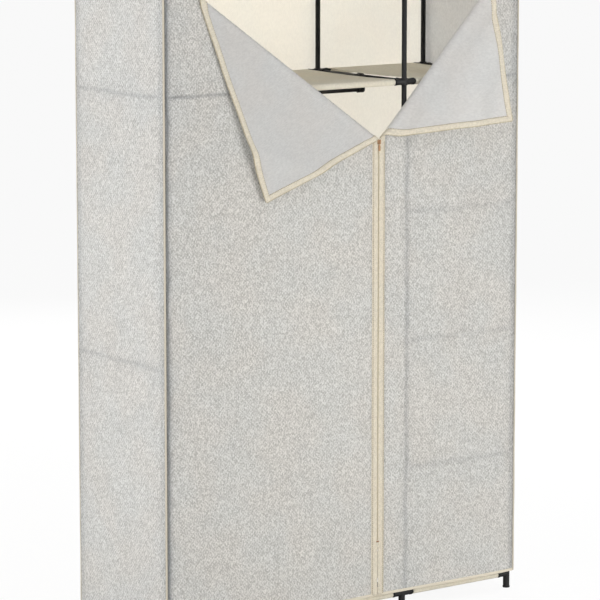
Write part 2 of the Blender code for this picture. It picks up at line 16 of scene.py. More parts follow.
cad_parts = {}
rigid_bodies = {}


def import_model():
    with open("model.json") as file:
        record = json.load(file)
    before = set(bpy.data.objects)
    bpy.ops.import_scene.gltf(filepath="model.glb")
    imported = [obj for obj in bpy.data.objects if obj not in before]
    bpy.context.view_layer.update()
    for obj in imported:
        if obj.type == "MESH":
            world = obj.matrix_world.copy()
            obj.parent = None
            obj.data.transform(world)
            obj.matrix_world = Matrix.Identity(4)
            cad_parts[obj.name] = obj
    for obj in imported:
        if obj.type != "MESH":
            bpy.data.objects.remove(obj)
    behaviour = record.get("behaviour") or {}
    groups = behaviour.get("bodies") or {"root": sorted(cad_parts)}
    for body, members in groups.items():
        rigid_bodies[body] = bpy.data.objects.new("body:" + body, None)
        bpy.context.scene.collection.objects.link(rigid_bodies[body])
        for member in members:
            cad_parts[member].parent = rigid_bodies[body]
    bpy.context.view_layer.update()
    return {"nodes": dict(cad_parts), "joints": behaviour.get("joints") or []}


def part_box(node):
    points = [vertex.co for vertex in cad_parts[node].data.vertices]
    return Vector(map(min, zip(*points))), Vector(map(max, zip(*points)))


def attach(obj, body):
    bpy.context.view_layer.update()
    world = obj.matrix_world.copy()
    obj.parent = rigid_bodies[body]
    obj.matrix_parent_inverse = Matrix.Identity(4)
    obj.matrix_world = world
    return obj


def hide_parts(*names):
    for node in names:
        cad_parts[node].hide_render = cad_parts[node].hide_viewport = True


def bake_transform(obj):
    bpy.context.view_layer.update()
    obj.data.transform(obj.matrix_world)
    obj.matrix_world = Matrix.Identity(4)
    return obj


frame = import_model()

bl_info = {
    "name": "Fabric wardrobe",
    "version": (1, 0, 0),
    "blender": (4, 5, 0),
    "location": "3D View > Sidebar > Wardrobe",
    "description": "Builds the cloth, fittings and zips of a fabric wardrobe round its tube frame",
    "category": "Object",
}

BODY = "wardrobe"
SIDES = ("left", "centre", "right")
DEPTHS = ("front", "back")

# Cloth and the cords in its seams
CLOTH = 0.0015  # cover's cloth as the frame's solids have it
CLOTH_DRAWN = 0.0010
PIPING_OUT = 0.0015  # piping outside the cover's faces
PIPING_RADIUS = 0.0030
PIPING_DRAWN = 0.0026
RING_OUT = PIPING_RADIUS * math.cos(math.pi / 8) - CLOTH  # the frame's eight-sided roof piping
PANEL_EDGE = 0.0048  # from a corner of the cover to a panel's edge, beside the piping
TAPE_WIDTH = 0.020
FLAP_TAPE = 0.014  # zip tape that shows inside a turned-out corner
BEAD_OFFSET = 0.0024  # from the middle of a zip to a row of teeth
HEM_RISE = 0.0025  # from the cover's lower edge to the middle of its binding
HEM_HEIGHT = 0.0075
HEM_THICK = 0.0026

# Frame
TUBE_RADIUS = 0.0065
TUBE_WALL = 0.001

# Fittings
HUB_RISE = 0.009
HUB_RADIUS = 0.0086
ARM_RADIUS = 0.0080
RIM_RADIUS = 0.0087
RIM_WIDTH = 0.0055
ARM_LENGTH = 0.030
BORE_RADIUS = 0.0068
SEAT = 0.0101
SOLE = 0.010
FOOT_PLATE = 0.0045
FOOT_FLARE = 0.0009
COLLAR_HEIGHT = 0.0035
COLLAR_OUT = 0.0006
CAP = 0.0025
EDGE = 0.0004  # rounding of a moulding's edges
OVERRUN = 0.002  # of a cut past the face that it opens
ROUND_SIDES = 32

# Hanging rail
RAIL_DROP = 0.032
RAIL_OVER = 0.008
CLIP_WIDTH = 0.018
CLIP_RADIUS = 0.0090
CLIP_STRAP = 0.008
CLIP_EDGE = 0.0005

# Shelves
SLEEVE_RADIUS = 0.0080
SHELF_SETBACK = 0.003
SHELF_SAG = 0.006
SHELF_CLOTH = 0.0009
HEM_TURN = 0.022  # from a tube to its sleeve's hem under the deck
SEAM_TURN = 0.0145

# Rolls of the turned-out corners' folds
ROLL_REACH = {"left": 0.027, "right": 0.089}
ROLL_SHARE = 0.42  # of the roll that stays with the door
ROLL_LEAN = math.radians(45)
CORNER_CELL = 0.006

joints = {joint["name"]: joint for joint in frame["joints"]}
zip_place = joints["zip_slide"]["pos_m"]
roof_low, roof_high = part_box("roof_panel")
corner = Vector((roof_low.x + RING_OUT, zip_place[1] - CLOTH / 2, 0))
WIDTH = roof_high.x - roof_low.x - 2 * RING_OUT
DEPTH = roof_high.y - RING_OUT - corner.y
ROOF_TOP = roof_high.z - RING_OUT
PANEL_TOP = ROOF_TOP - PANEL_EDGE
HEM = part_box("right_side_panel")[0].z
ZIP_X = zip_place[0] - corner.x
OPENING_TOP = joints["top_slide_left"]["pos_m"][2]
STOP_HEIGHT = 0.190
SIDE_INSET = PIPING_OUT + 0.001
SIDE_SEEDS = {"left": 21.0, "right": 27.0}
PLAIN = ["heather_plain", "heather_reverse"]
FRONT = ["heather_front", "heather_reverse"]

# Half width, half length and half depth of a tooth of an open and of a closed zip
OPEN_TOOTH = (0.0021, 0.0012, 0.0013)
CLOSED_TOOTH = (0.0019, 0.0011, 0.0013)


def at(x, y, z):
    """A place measured from the cover's left, front, bottom corner, in the frame's own metres."""
    return corner + Vector((x, y, z))


def middle(node):
    """Middle of a CAD node's box, measured from the cover's corner."""
    low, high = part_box(node)
    return (low + high) / 2 - corner


post_x = {side: middle(f"post_front_{side}").x for side in SIDES}
post_y = {depth: middle(f"post_{depth}_left").y for depth in DEPTHS}
level_z = [
    middle("base_tube_front_wide_bay").z,
    *(middle(f"tier_frame_{tier}").z for tier in (1, 2, 3)),
    middle("shelf_tube_front_wide_bay").z,
    middle("top_frame").z,
]


def colour(text, name, description):
    """A colour property whose default is an sRGB hex value."""
    return FloatVectorProperty(
        name=name, description=description, default=linear(text)[:3], subtype="COLOR",
        size=3, min=0.0, max=1.0,
    )


def linear(text):
    """Linear RGBA of an sRGB hex value."""
    shares = [int(text[i:i + 2], 16) / 255 for i in (0, 2, 4)]
    return (*(s / 12.92 if s <= 0.04045 else ((s + 0.055) / 1.055) ** 2.4 for s in shares), 1.0)


def length(value, name, description):
    """A length property in metres."""
    return FloatProperty(
        name=name, description=description, default=value, min=0.0, unit="LENGTH", precision=4,
    )


class WardrobeColours(bpy.types.PropertyGroup):
    """Colours of the wardrobe's finishes."""

    heather_light: colour("F4F4F3", "Heather, light", "Paler fibres of the cover's outer face")
    heather_dark: colour("B0B0AE", "Heather, dark", "Darker fibres of the cover's outer face")
    reverse: colour("E9E9E9", "Reverse", "Inner face of the cover's cloth")
    cream: colour("F1EBDA", "Cream cloth", "Back panel and shelves")
    tape: colour("EBE3D1", "Tape", "Zip tapes, bindings and piping")
    coil: colour("A89C80", "Coil", "Teeth of the zips")
    # Thread in its own khaki, darker still as painted shade of the dents that its stitches pull in the
    # cloth
    thread: colour("9A8C74", "Thread", "Stitches of the tapes")
    steel: colour("0E0E0F", "Steel", "Coated tubes")
    plastic: colour("0C0C0D", "Plastic", "Moulded fittings")
    bronze: colour("8E7055", "Bronze", "Sliders, pull and stop")


class WardrobeSizes(bpy.types.PropertyGroup):
    """Sizes that a user of the wardrobe would change."""

    belly: length(0.004, "Belly", "How far the cloth stands out in the middle of a panel")
    wrinkle: length(0.0013, "Wrinkle", "Height of the cloth's long soft wrinkles")
    cell: length(0.008, "Cell", "Width of a cell of the cloth's mesh")
    tooth_pitch: length(0.0032, "Tooth pitch", "From one tooth of a zip to the next on its side")
    stitch_pitch: length(0.0050, "Stitch pitch", "From one stitch of a seam to the next")


def sizes():
    return bpy.context.scene.wardrobe_sizes


def shades():
    return bpy.context.scene.wardrobe_colours


# Materials


def add_node(tree, kind, inputs=(), **settings):
    """Adds a shader node with its settings. Its inputs are a list, or a dictionary by their names
    or numbers, of values and of other nodes' outputs; a node stands for its first output."""
    node = tree.nodes.new("ShaderNode" + kind)
    for key, value in settings.items():
        setattr(node, key, value)
    for key, value in inputs.items() if isinstance(inputs, dict) else enumerate(inputs):
        if isinstance(value, bpy.types.Node):
            value = value.outputs[0]
        if isinstance(value, bpy.types.NodeSocket):
            tree.links.new(value, node.inputs[key])
        else:
            node.inputs[key].default_value = value
    return node


def new_material(name):
    """An empty node material, and the function that adds nodes to it."""
    material = bpy.data.materials.new(name)
    material.use_nodes = True
    material.node_tree.nodes.clear()
    return material, partial(add_node, material.node_tree)


def rgba(value, share=1):
    return (*(c * share for c in value), 1.0)


def painted_shade_mask(add, cut, lines):
    """How strong the painted shade is at a place: soft wandering bands across or along the cloth where
    the tubes behind it and the seams beside the piping would shade it.
    """
    drift = add("TexNoise", {"Vector": cut, "Scale": 9.0, "Detail": 1.0}).outputs["Color"]
    centred = add("VectorMath", [drift, (0.5, 0.5, 0.5)], operation="SUBTRACT")
    moved = add("VectorMath", [centred, (0.012, 0.012, 0.0), cut], operation="MULTIPLY_ADD")
    axes = add("SeparateXYZ", [moved]).outputs
    total = None
    for axis, place, half, strength, start in lines:
        off = add("Math", [axes[axis], place], operation="SUBTRACT")
        far = add("Math", [off], operation="ABSOLUTE")
        band = add("MapRange", [far, 0.0, half, strength, 0.0], interpolation_type="SMOOTHSTEP")
        if start is not None:
            past = add("Math", [axes[1 - axis], start], operation="GREATER_THAN")
            band = add("Math", [band, past], operation="MULTIPLY")
        total = band if total is None else add("Math", [total, band], operation="MAXIMUM")
    return total


def front_painted_shade():
    """Painted shade on the doors, where the front frame behind them and the seams beside the piping
    would shade the cloth: axis, place, half width, strength, start.
    """
    posts = [(0, post_x["left"], 0.014, 0.30, None), (0, post_x["centre"], 0.011, 0.34, None),
             (0, post_x["right"], 0.012, 0.30, None)]
    tiers = [(1, level_z[tier], 0.012, 0.15, post_x["centre"]) for tier in (1, 2, 3)]
    seams = [(0, PANEL_EDGE + 0.003, 0.012, 0.92, None), (0, WIDTH - PANEL_EDGE, 0.008, 0.50, None)]
    return posts + seams + tiers + [(1, level_z[4], 0.008, 0.50, None)]


def side_painted_shade():
    """Painted shade on a side panel, where the end of the frame behind it and the seams beside the
    piping would shade the cloth.
    """
    # The left panel's cloth is cut with its depth counted backwards, so each line is there twice.
    posts = [(0, way * y, 0.014, 0.20, None) for y in post_y.values() for way in (-1, 1)]
    seams = [(0, way * y, 0.007, 0.34, None) for y in (0.003, DEPTH - 0.003) for way in (-1, 1)]
    return posts + seams + [(1, level_z[level], 0.009, 0.26, None) for level in (2, 4)]


# Pale colour and share of it, deep colour and share of it, flecks and weave in metres, share of
# light let through, strength of the slow patches of tone
HEATHER = ("heather_light", 1, "heather_dark", 1, 0.0020, 0.0068, 0.36, 0.3)
CLOTHS = {
    # Polypropylene spun-bond printed in grey heather: matt, flecked, a little see-through.
    "heather_front": HEATHER,
    "heather_side": HEATHER,
    "heather_plain": HEATHER,
    # Unprinted reverse of the same cloth: smoother, cooler and almost even.
    "heather_reverse": ("reverse", 1, "reverse", 0.88, 0.0030, 0.0040, 0.38, 0.3),
    # Cream polypropylene spun-bond with its pressed pattern of dots.
    "cream_spunbond": ("cream", 1, "cream", 0.90, 0.0030, 0.0040, 0.70, 0.3),
    # The same cloth on the shelves, doubled over card, so that little light comes through.
    "cream_shelf": ("cream", 1, "cream", 0.90, 0.0030, 0.0040, 0.20, 0.3),
    # Woven polyester tape: close ribs, slightly glossier than the cloth.
    "polyester_tape": ("tape", 1, "tape", 0.82, 0.0022, 0.0022, 0.08, 0.2),
    # The same tape drawn round a cord, its colour darkened as painted shade of the round cord and its
    # ribs.
    "polyester_piping": ("tape", 0.80, "tape", 0.62, 0.0022, 0.0022, 0.08, 0.2),
}
# Cloths with painted shade where the frame behind them and the seams beside the piping would shade
# them
PAINTED_SHADE_BANDS = {"heather_front": front_painted_shade, "heather_side": side_painted_shade}
# Colour, roughness, metallic, grain and its depth in metres, colour where it is worn
SOLIDS = {
    # Polyester sewing thread in its own khaki, darker still as painted shade of the dents that its
    # stitches pull in the cloth.
    "sewing_thread": ("thread", 0.7, 0.0, 0.0006, 0.00003, None),
    # Nylon coil of the zips: smooth and waxy.
    "nylon_coil": ("coil", 0.42, 0.0, 0.0008, 0.00005, None),
    # Mild steel tube in black epoxy powder: satin with fine orange peel.
    "powder_coated_steel": ("steel", 0.45, 0.0, 0.0022, 0.00008, None),
    # Injection-moulded black polypropylene: satin with a spark-eroded grain.
    "moulded_polypropylene": ("plastic", 0.5, 0.0, 0.0006, 0.00006, None),
    # Zinc die casting plated antique bronze, paler where it has worn.
    "plated_zinc": ("bronze", 0.38, 0.8, 0.0010, 0.00004, "D8B690"),
}


def cloth_finish(name):
    """Spun-bonded or woven cloth: flecks and fibres in two tones, a fine cross weave pressed
    into it, slow patches of warmer and cooler tone, and some light let through."""
    pale, pale_share, deep, deep_share, fleck, weave, glow, tint = CLOTHS[name]
    pale = rgba(getattr(shades(), pale), pale_share)
    deep = rgba(getattr(shades(), deep), deep_share)
    material, add = new_material(name)
    cut = add("UVMap", uv_map="cut")
    # Short fibres laid both ways, a few millimetres long; the real ones are finer and would not show.
    laid = []
    for turn in (38, -52):
        way = add(
            "Mapping", {"Vector": cut, "Rotation": (0, 0, math.radians(turn)), "Scale": (1, 0.55, 1)},
        )
        cells = add("TexVoronoi", {"Vector": way, "Scale": 1 / fleck}, voronoi_dimensions="2D")
        laid.append(cells.outputs["Color"])
    fibres = add("Math", laid, operation="ADD")
    flecks = add("TexNoise", {"Vector": cut, "Scale": 0.9 / fleck, "Detail": 2.0, "Roughness": 0.7})
    patches = add("TexNoise", {"Vector": cut, "Scale": 7.0, "Detail": 1.0, "Roughness": 0.5})
    # Cross weave at the spacing asked for, coarser than the real one so that it shows.
    turned = add("Mapping", {"Vector": cut, "Rotation": (0, 0, math.radians(42))})
    waves = {"Vector": turned, "Scale": math.pi / (10 * weave), "Distortion": 1.6, "Detail": 2.0,
             "Detail Scale": 2.0}
    threads = [add("TexWave", waves, bands_direction=way).outputs["Fac"] for way in ("X", "Y")]
    grid = add("Math", threads, operation="MULTIPLY")
    blend = add("Math", [flecks, 0.35, fibres], operation="MULTIPLY_ADD")
    level = add("Math", [grid, 0.4, blend], operation="MULTIPLY_ADD")
    share = add("MapRange", [level, 0.82, 1.73, 0.0, 1.0])
    tone = add("Mix", {0: share, 6: deep, 7: pale}, data_type="RGBA").outputs[2]
    cool = add("MapRange", [patches, 0.35, 0.65, 0.0, 1.0], interpolation_type="SMOOTHSTEP")
    cast = add(
        "Mix", {0: cool, 6: linear("FFF9F3"), 7: linear("F8FAFA")}, data_type="RGBA",
    ).outputs[2]
    shade = add("Mix", {0: tint, 6: tone, 7: cast}, data_type="RGBA", blend_type="MULTIPLY").outputs[2]
    # Painted shade: the cloth darkened towards 9A9FA6 in bands where the frame behind it and the seams
    # beside the piping would shade it.
    if name in PAINTED_SHADE_BANDS:
        mask = painted_shade_mask(add, cut, PAINTED_SHADE_BANDS[name]())
        shade = add(
            "Mix", {0: mask, 6: shade, 7: linear("9A9FA6")}, data_type="RGBA", blend_type="MULTIPLY",
        ).outputs[2]
    height = add("Math", [grid, 0.5, flecks], operation="MULTIPLY_ADD")
    bump = add("Bump", {"Height": height, "Strength": 0.5, "Distance": 0.0008})
    shader = add("BsdfPrincipled", {
        "Base Color": shade, "Roughness": 0.92, "Sheen Weight": 0.1, "Sheen Roughness": 0.6,
        "Specular IOR Level": 0.2, "Normal": bump,
    })
    # The fibres are white under their print, so light that comes through is paler than the face.
    paler = add("Mix", {0: 0.75, 6: shade, 7: linear("FDFCFA")}, data_type="RGBA").outputs[2]
    through = add("BsdfTranslucent", {"Color": paler, "Normal": bump})
    add("OutputMaterial", [add("MixShader", [glow, shader, through])])
    return material


def hard_finish(name):
    """Steel, moulded plastic or plated metal: one base with fine grain in its gloss and relief."""
    base, rough, metallic, grain, depth, worn = SOLIDS[name]
    base = getattr(shades(), base)
    material, add = new_material(name)
    place = add("TexCoord").outputs["Object"]
    fine = add("TexNoise", {"Vector": place, "Scale": 1 / grain, "Detail": 3.0})
    broad = add("TexNoise", {"Vector": place, "Scale": 35.0, "Detail": 4.0})
    gloss = add("MapRange", [broad, 0.3, 0.7, rough - 0.07, rough + 0.09])
    lighter = rgba([c * 1.5 + 0.002 for c in base])
    tone = add("Mix", {0: broad, 6: rgba(base), 7: lighter}, data_type="RGBA").outputs[2]
    if worn:
        edges = add("MapRange", [broad, 0.52, 0.72, 0.0, 0.7], interpolation_type="SMOOTHSTEP")
        tone = add("Mix", {0: edges, 6: tone, 7: linear(worn)}, data_type="RGBA").outputs[2]
    bump = add("Bump", {"Height": fine, "Strength": 0.4, "Distance": depth})
    shader = add("BsdfPrincipled", {
        "Base Color": tone, "Roughness": gloss, "Metallic": metallic,
        "Specular IOR Level": 0.5 if metallic else 0.35, "Normal": bump,
    })
    add("OutputMaterial", [shader])
    return material


def finish_named(name):
    """The material of that name, made the first time that it is asked for."""
    if name in bpy.data.materials:
        return bpy.data.materials[name]
    return cloth_finish(name) if name in CLOTHS else hard_finish(name)


# Meshes and pieces


def mesh_of(bm):
    mesh = bpy.data.meshes.new("shape")
    bm.to_mesh(mesh)
    bm.free()
    return mesh


def piece(mesh, name, finishes, nodes=(), body=BODY, angle=40):
    """A new piece of the wardrobe that rides on a body and stands for some CAD nodes."""
    obj = bpy.data.objects.new(name, mesh)
    bpy.context.scene.collection.objects.link(obj)
    mesh.name = name
    mesh.shade_smooth()
    mesh.set_sharp_from_angle(angle=math.radians(angle))
    mesh.materials.clear()
    for finish in finishes:
        mesh.materials.append(finish_named(finish))
    if body:
        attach(obj, body)
    if nodes:
        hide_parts(*nodes)
    return obj


def rod(start, end, radius, caps=True):
    """Mesh of a straight round bar between two points."""
    bm = bmesh.new()
    run = end - start
    turn = run.to_track_quat("Z", "Y").to_matrix().to_4x4()
    bmesh.ops.create_cone(
        bm, cap_ends=caps, segments=ROUND_SIDES, radius1=radius, radius2=radius,
        depth=run.length, matrix=Matrix.Translation((start + end) / 2) @ turn,
    )
    return mesh_of(bm)


def solid_of(joined, cut=()):
    """One closed mesh from overlapping ones, less the cuts."""
    scene = bpy.context.scene
    base = bpy.data.objects.new("base", joined[0])
    scene.collection.objects.link(base)
    groups = []
    for operation, meshes in (("UNION", joined[1:]), ("DIFFERENCE", cut)):
        if not meshes:
            continue
        group = bpy.data.collections.new("operands")
        scene.collection.children.link(group)
        groups.append(group)
        for mesh in meshes:
            group.objects.link(bpy.data.objects.new("operand", mesh))
        modifier = base.modifiers.new(operation, "BOOLEAN")
        modifier.operation = operation
        modifier.solver = "EXACT"
        modifier.operand_type = "COLLECTION"
        modifier.collection = group
    graph = bpy.context.evaluated_depsgraph_get()
    made = bpy.data.meshes.new_from_object(base.evaluated_get(graph))
    for group in groups:
        for operand in list(group.objects):
            bpy.data.objects.remove(operand)
        bpy.data.collections.remove(group)
    bpy.data.objects.remove(base)
    return made


def soften(obj, width):
    """Rounds the sharper edges of a piece."""
    bevel = obj.modifiers.new("Round", "BEVEL")
    bevel.width = width
    bevel.segments = 2
    bevel.limit_method = "ANGLE"
    bevel.angle_limit = math.radians(35)


def hollow(obj, thickness, inner=0):
    """Gives a sheet its thickness inwards; its inner face may have the next material."""
    wall = obj.modifiers.new("Wall", "SOLIDIFY")
    wall.thickness = thickness
    wall.offset = -1
    wall.use_even_offset = True
    wall.material_offset = inner
    return obj


def sheet(name, node, mesh, finishes, slot, flat, held, rests, thick=CLOTH_DRAWN, **facts):
    """A piece of cloth with its thickness and, where it has one, its inner face's material."""
    obj = piece(mesh, name, finishes, [node], angle=60)
    hollow(obj, thick, len(finishes) - 1)


def curve_mesh(paths, cyclic, **settings):
    """Mesh of a curve along lists of points."""
    curve = bpy.data.curves.new("curve", "CURVE")
    for key, value in settings.items():
        setattr(curve, key, value)
    for points in paths:
        spline = curve.splines.new("POLY")
        spline.points.add(len(points) - 1)
        for knot, point in zip(spline.points, points):
            knot.co = (*point, 1)
        spline.use_cyclic_u = cyclic
    obj = bpy.data.objects.new("curve", curve)
    bpy.context.scene.collection.objects.link(obj)
    graph = bpy.context.evaluated_depsgraph_get()
    mesh = bpy.data.meshes.new_from_object(obj.evaluated_get(graph))
    bpy.data.objects.remove(obj)
    bm = bmesh.new()
    bm.from_mesh(mesh)
    bmesh.ops.remove_doubles(bm, verts=bm.verts, dist=0.00001)
    return mesh_of(bm)


def cord_mesh(paths, radius, cyclic=False):
    """Round cords along lists of points, closed at their ends."""
    return curve_mesh(paths, cyclic, dimensions="3D", bevel_depth=radius, bevel_resolution=3,
                      use_fill_caps=not cyclic)


def strip_mesh(points, height, thick):
    """A flat upright strip with rounded edges along points of one height."""
    mesh = curve_mesh(
        [[(point.x, point.y, 0) for point in points]], False, dimensions="2D", fill_mode="NONE",
        bevel_depth=thick / 2, bevel_resolution=2, extrude=height / 2 - thick / 2,
    )
    mesh.transform(Matrix.Translation((0, 0, points[0].z)))
    return mesh


def block(centre, size):
    """Mesh of a box."""
    bm = bmesh.new()
    bmesh.ops.create_cube(bm, size=1, matrix=Matrix.Translation(centre) @ Matrix.Diagonal((*size, 1)))
    return mesh_of(bm)


def steps(start, end, cell):
    """Places from one limit to another, about a cell apart."""
    count = max(1, round(abs(end - start) / cell))
    return [start + (end - start) * i / count for i in range(count + 1)]


def smooth(share):
    share = min(max(share, 0.0), 1.0)
    return share * share * (3 - 2 * share)


def cloth_mesh(xs, ys, shape, trims=()):
    """A sheet cut flat on a grid of lines, trimmed by planes, and put in place by shape(x, y).

    Its flat place is kept as the UV map "cut", in metres, so that the weave follows the cloth."""
    bm = bmesh.new()
    bmesh.ops.create_grid(bm, x_segments=len(xs) - 1, y_segments=len(ys) - 1, size=0.5)
    for v in bm.verts:
        column = round((v.co.x + 0.5) * (len(xs) - 1))
        row = round((v.co.y + 0.5) * (len(ys) - 1))
        v.co = (xs[column], ys[row], 0)
    for point, normal in trims:
        bmesh.ops.bisect_plane(
            bm, geom=bm.verts[:] + bm.edges[:] + bm.faces[:], dist=0.00001,
            plane_co=point, plane_no=normal, clear_outer=True,
        )
    cut = bm.loops.layers.uv.new("cut")
    for face in bm.faces:
        for loop in face.loops:
            loop[cut].uv = loop.vert.co.xy
    for v in bm.verts:
        v.co = shape(v.co.x, v.co.y)
    return mesh_of(bm)


def wrinkles(x, y, seed):
    """Height of the cloth's soft wrinkles at a place, about one at most."""
    long_ones = noise.noise(Vector((x * 6.0, y * 2.0, seed)))
    broad = noise.noise(Vector((x * 2.5, y * 1.6, seed + 5.0)))
    small = noise.noise(Vector((x * 24.0, y * 13.0, seed + 9.0)))
    return 0.55 * long_ones + 0.6 * broad + 0.16 * small


# Frame


def steel_tube(node):
    """A fine round tube in place of a CAD node of the same length."""
    low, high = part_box(node)
    size = high - low
    centre = (low + high) / 2
    axis = max(range(3), key=lambda i: size[i])
    half = Vector((0, 0, 0))
    half[axis] = size[axis] / 2
    return hollow(piece(
        rod(centre - half, centre + half, TUBE_RADIUS, caps=False), f"steel_{node}",
        ["powder_coated_steel"], [node],
    ), TUBE_WALL)


def arm_ways(side, depth, across=SIDES):
    """The ways in which tubes leave a post: along X to its neighbours, and into the frame."""
    ways = []
    place = across.index(side)
    if place + 1 < len(across):
        ways.append(Vector((1, 0, 0)))
    if place:
        ways.append(Vector((-1, 0, 0)))
    return ways + [Vector((0, 1 if depth == "front" else -1, 0))]


def fitting_mesh(x, y, z, ways, foot=False, blind=False):
    """A moulded fitting: hub on the post, an arm for each tube with a thicker rim, and its bores."""
    centre = at(x, y, z)
    low, high = at(x, y, 0 if foot else z - HUB_RISE), at(x, y, z + HUB_RISE)
    joined, cut = [rod(low, high, HUB_RADIUS)], []
    if foot:
        joined.append(rod(low, at(x, y, FOOT_PLATE), HUB_RADIUS + FOOT_FLARE))
    joined.append(rod(at(x, y, z + HUB_RISE - COLLAR_HEIGHT), high, HUB_RADIUS + COLLAR_OUT))
    for way in ways:
        mouth = centre + way * ARM_LENGTH
        joined.append(rod(centre, centre + way * (ARM_LENGTH - 0.001), ARM_RADIUS + 0.0001))
        joined.append(rod(mouth - way * RIM_WIDTH, mouth, RIM_RADIUS))
        inner = centre + way * (SEAT - 0.0003)
        cut.append(rod(inner, mouth + way * OVERRUN, BORE_RADIUS))
    bottom = at(x, y, SOLE) if foot else at(x, y, z - HUB_RISE - OVERRUN)
    top = HUB_RISE - CAP if blind else HUB_RISE + OVERRUN
    cut.append(rod(bottom, at(x, y, z + top), BORE_RADIUS))
    return solid_of(joined, cut)


def moulded(mesh, name, node, edge=EDGE):
    """A piece of moulded plastic with its edges rounded."""
    soften(piece(mesh, name, ["moulded_polypropylene"], [node], angle=30), edge)


def joined_mesh(meshes):
    """Several meshes as one, without uniting their solids."""
    bm = bmesh.new()
    for mesh in meshes:
        bm.from_mesh(mesh)
    return mesh_of(bm)


def level_pieces(node, level, sides, cross=True, blind=False):
    """A level that the CAD keeps as one node: its moulded fittings, and the tubes between them."""
    z = level_z[level]
    fittings, tubes = [], []
    for depth, y in post_y.items():
        for side in sides:
            ways = [w for w in arm_ways(side, depth, sides) if w.y or cross]
            fittings.append(fitting_mesh(post_x[side], y, z, ways, blind=blind))
        if cross:
            for a, b in zip(sides[:-1], sides[1:]):
                low, high = post_x[a] + SEAT, post_x[b] - SEAT
                tubes.append(rod(at(low, y, z), at(high, y, z), TUBE_RADIUS))
    near, far = post_y["front"] + SEAT, post_y["back"] - SEAT
    for side in sides:
        tubes.append(rod(at(post_x[side], near, z), at(post_x[side], far, z), TUBE_RADIUS))
    moulded(joined_mesh(fittings), f"fittings_{node}", node)
    piece(joined_mesh(tubes), f"tubes_{node}", ["powder_coated_steel"], [node])


class WARDROBE_OT_posts(bpy.types.Operator):
    """Six upright tubes"""

    bl_idname = "wardrobe.posts"
    bl_label = "Posts"

    def execute(self, context):
        for depth in DEPTHS:
            for side in SIDES:
                steel_tube(f"post_{depth}_{side}")
        return {"FINISHED"}


class WARDROBE_OT_level_tubes(bpy.types.Operator):
    """Tubes of the base and of the shelf level"""

    bl_idname = "wardrobe.level_tubes"
    bl_label = "Base and shelf tubes"

    def execute(self, context):
        for label in ("base", "shelf"):
            for depth in DEPTHS:
                for bay in ("wide_bay", "narrow_bay"):
                    steel_tube(f"{label}_tube_{depth}_{bay}")
            for side in SIDES:
                steel_tube(f"{label}_tube_{side}_side")
        return {"FINISHED"}


class WARDROBE_OT_fittings(bpy.types.Operator):
    """Moulded feet and shelf fittings"""

    bl_idname = "wardrobe.fittings"
    bl_label = "Fittings"

    def execute(self, context):
        for kind, level in (("foot", 0), ("shelf_fitting", 4)):
            for depth, y in post_y.items():
                for side, x in post_x.items():
                    node = f"{kind}_{depth}_{side}"
                    mesh = fitting_mesh(x, y, level_z[level], arm_ways(side, depth), kind == "foot")
                    moulded(mesh, f"moulded_{node}", node)
        return {"FINISHED"}


class WARDROBE_OT_levels(bpy.types.Operator):
    """Tier frames of the narrow bay, the side rail and the top frame"""

    bl_idname = "wardrobe.levels"
    bl_label = "Levels"

    def execute(self, context):
        for tier in (1, 2, 3):
            level_pieces(f"tier_frame_{tier}", tier, ("centre", "right"))
        level_pieces("top_frame", 5, SIDES, blind=True)
        level_pieces("side_rail", 2, ("left",), cross=False)
        return {"FINISHED"}


class WARDROBE_OT_hanging_rail(bpy.types.Operator):
    """Hanging rail with a clip at each end"""

    bl_idname = "wardrobe.hanging_rail"
    bl_label = "Hanging rail"

    def execute(self, context):
        z = level_z[4]
        rail_z = z - RAIL_DROP
        y = DEPTH / 2
        ends = (post_x["left"], post_x["centre"])
        low, high = at(ends[0] - RAIL_OVER, y, rail_z), at(ends[1] + RAIL_OVER, y, rail_z)
        soften(piece(rod(low, high, TUBE_RADIUS), "steel_hanging_rail", ["powder_coated_steel"],
                     ["hanging_rail"]), CLIP_EDGE)
        half = CLIP_WIDTH / 2
        over = half + OVERRUN
        clips = []
        for x in ends:
            joined = [
                rod(at(x, y - half, z), at(x, y + half, z), CLIP_RADIUS),
                rod(at(x - half, y, rail_z), at(x + half, y, rail_z), CLIP_RADIUS),
                block(at(x, y, (z + rail_z) / 2), (CLIP_STRAP, CLIP_STRAP, z - rail_z)),
            ]
            cut = [
                rod(at(x, y - over, z), at(x, y + over, z), BORE_RADIUS),
                rod(at(x - over, y, rail_z), at(x + over, y, rail_z), BORE_RADIUS),
            ]
            clips.append(solid_of(joined, cut))
        moulded(joined_mesh(clips), "rail_clips", "hanging_rail", CLIP_EDGE)
        return {"FINISHED"}


# Shelves


def shelf_profile(front, back):
    """Side view of a shelf's outer face from hem to hem: both sleeves and the deck between."""
    def sleeve(y, inward):
        """From the hem under the deck round the tube to its top."""
        seam = [(y + inward * HEM_TURN, SLEEVE_RADIUS - 0.0016),
                (y + inward * SEAM_TURN, SLEEVE_RADIUS - 0.0034)]
        turns = [-math.radians(24) - math.radians(246) * i / 18 for i in range(19)]
        return seam + [
            (y + inward * SLEEVE_RADIUS * math.cos(t), SLEEVE_RADIUS * math.sin(t)) for t in turns
        ]

    deck = [(front + (back - front) * i / 26, SLEEVE_RADIUS) for i in range(1, 26)]
    return sleeve(front, 1) + deck + sleeve(back, -1)[::-1]


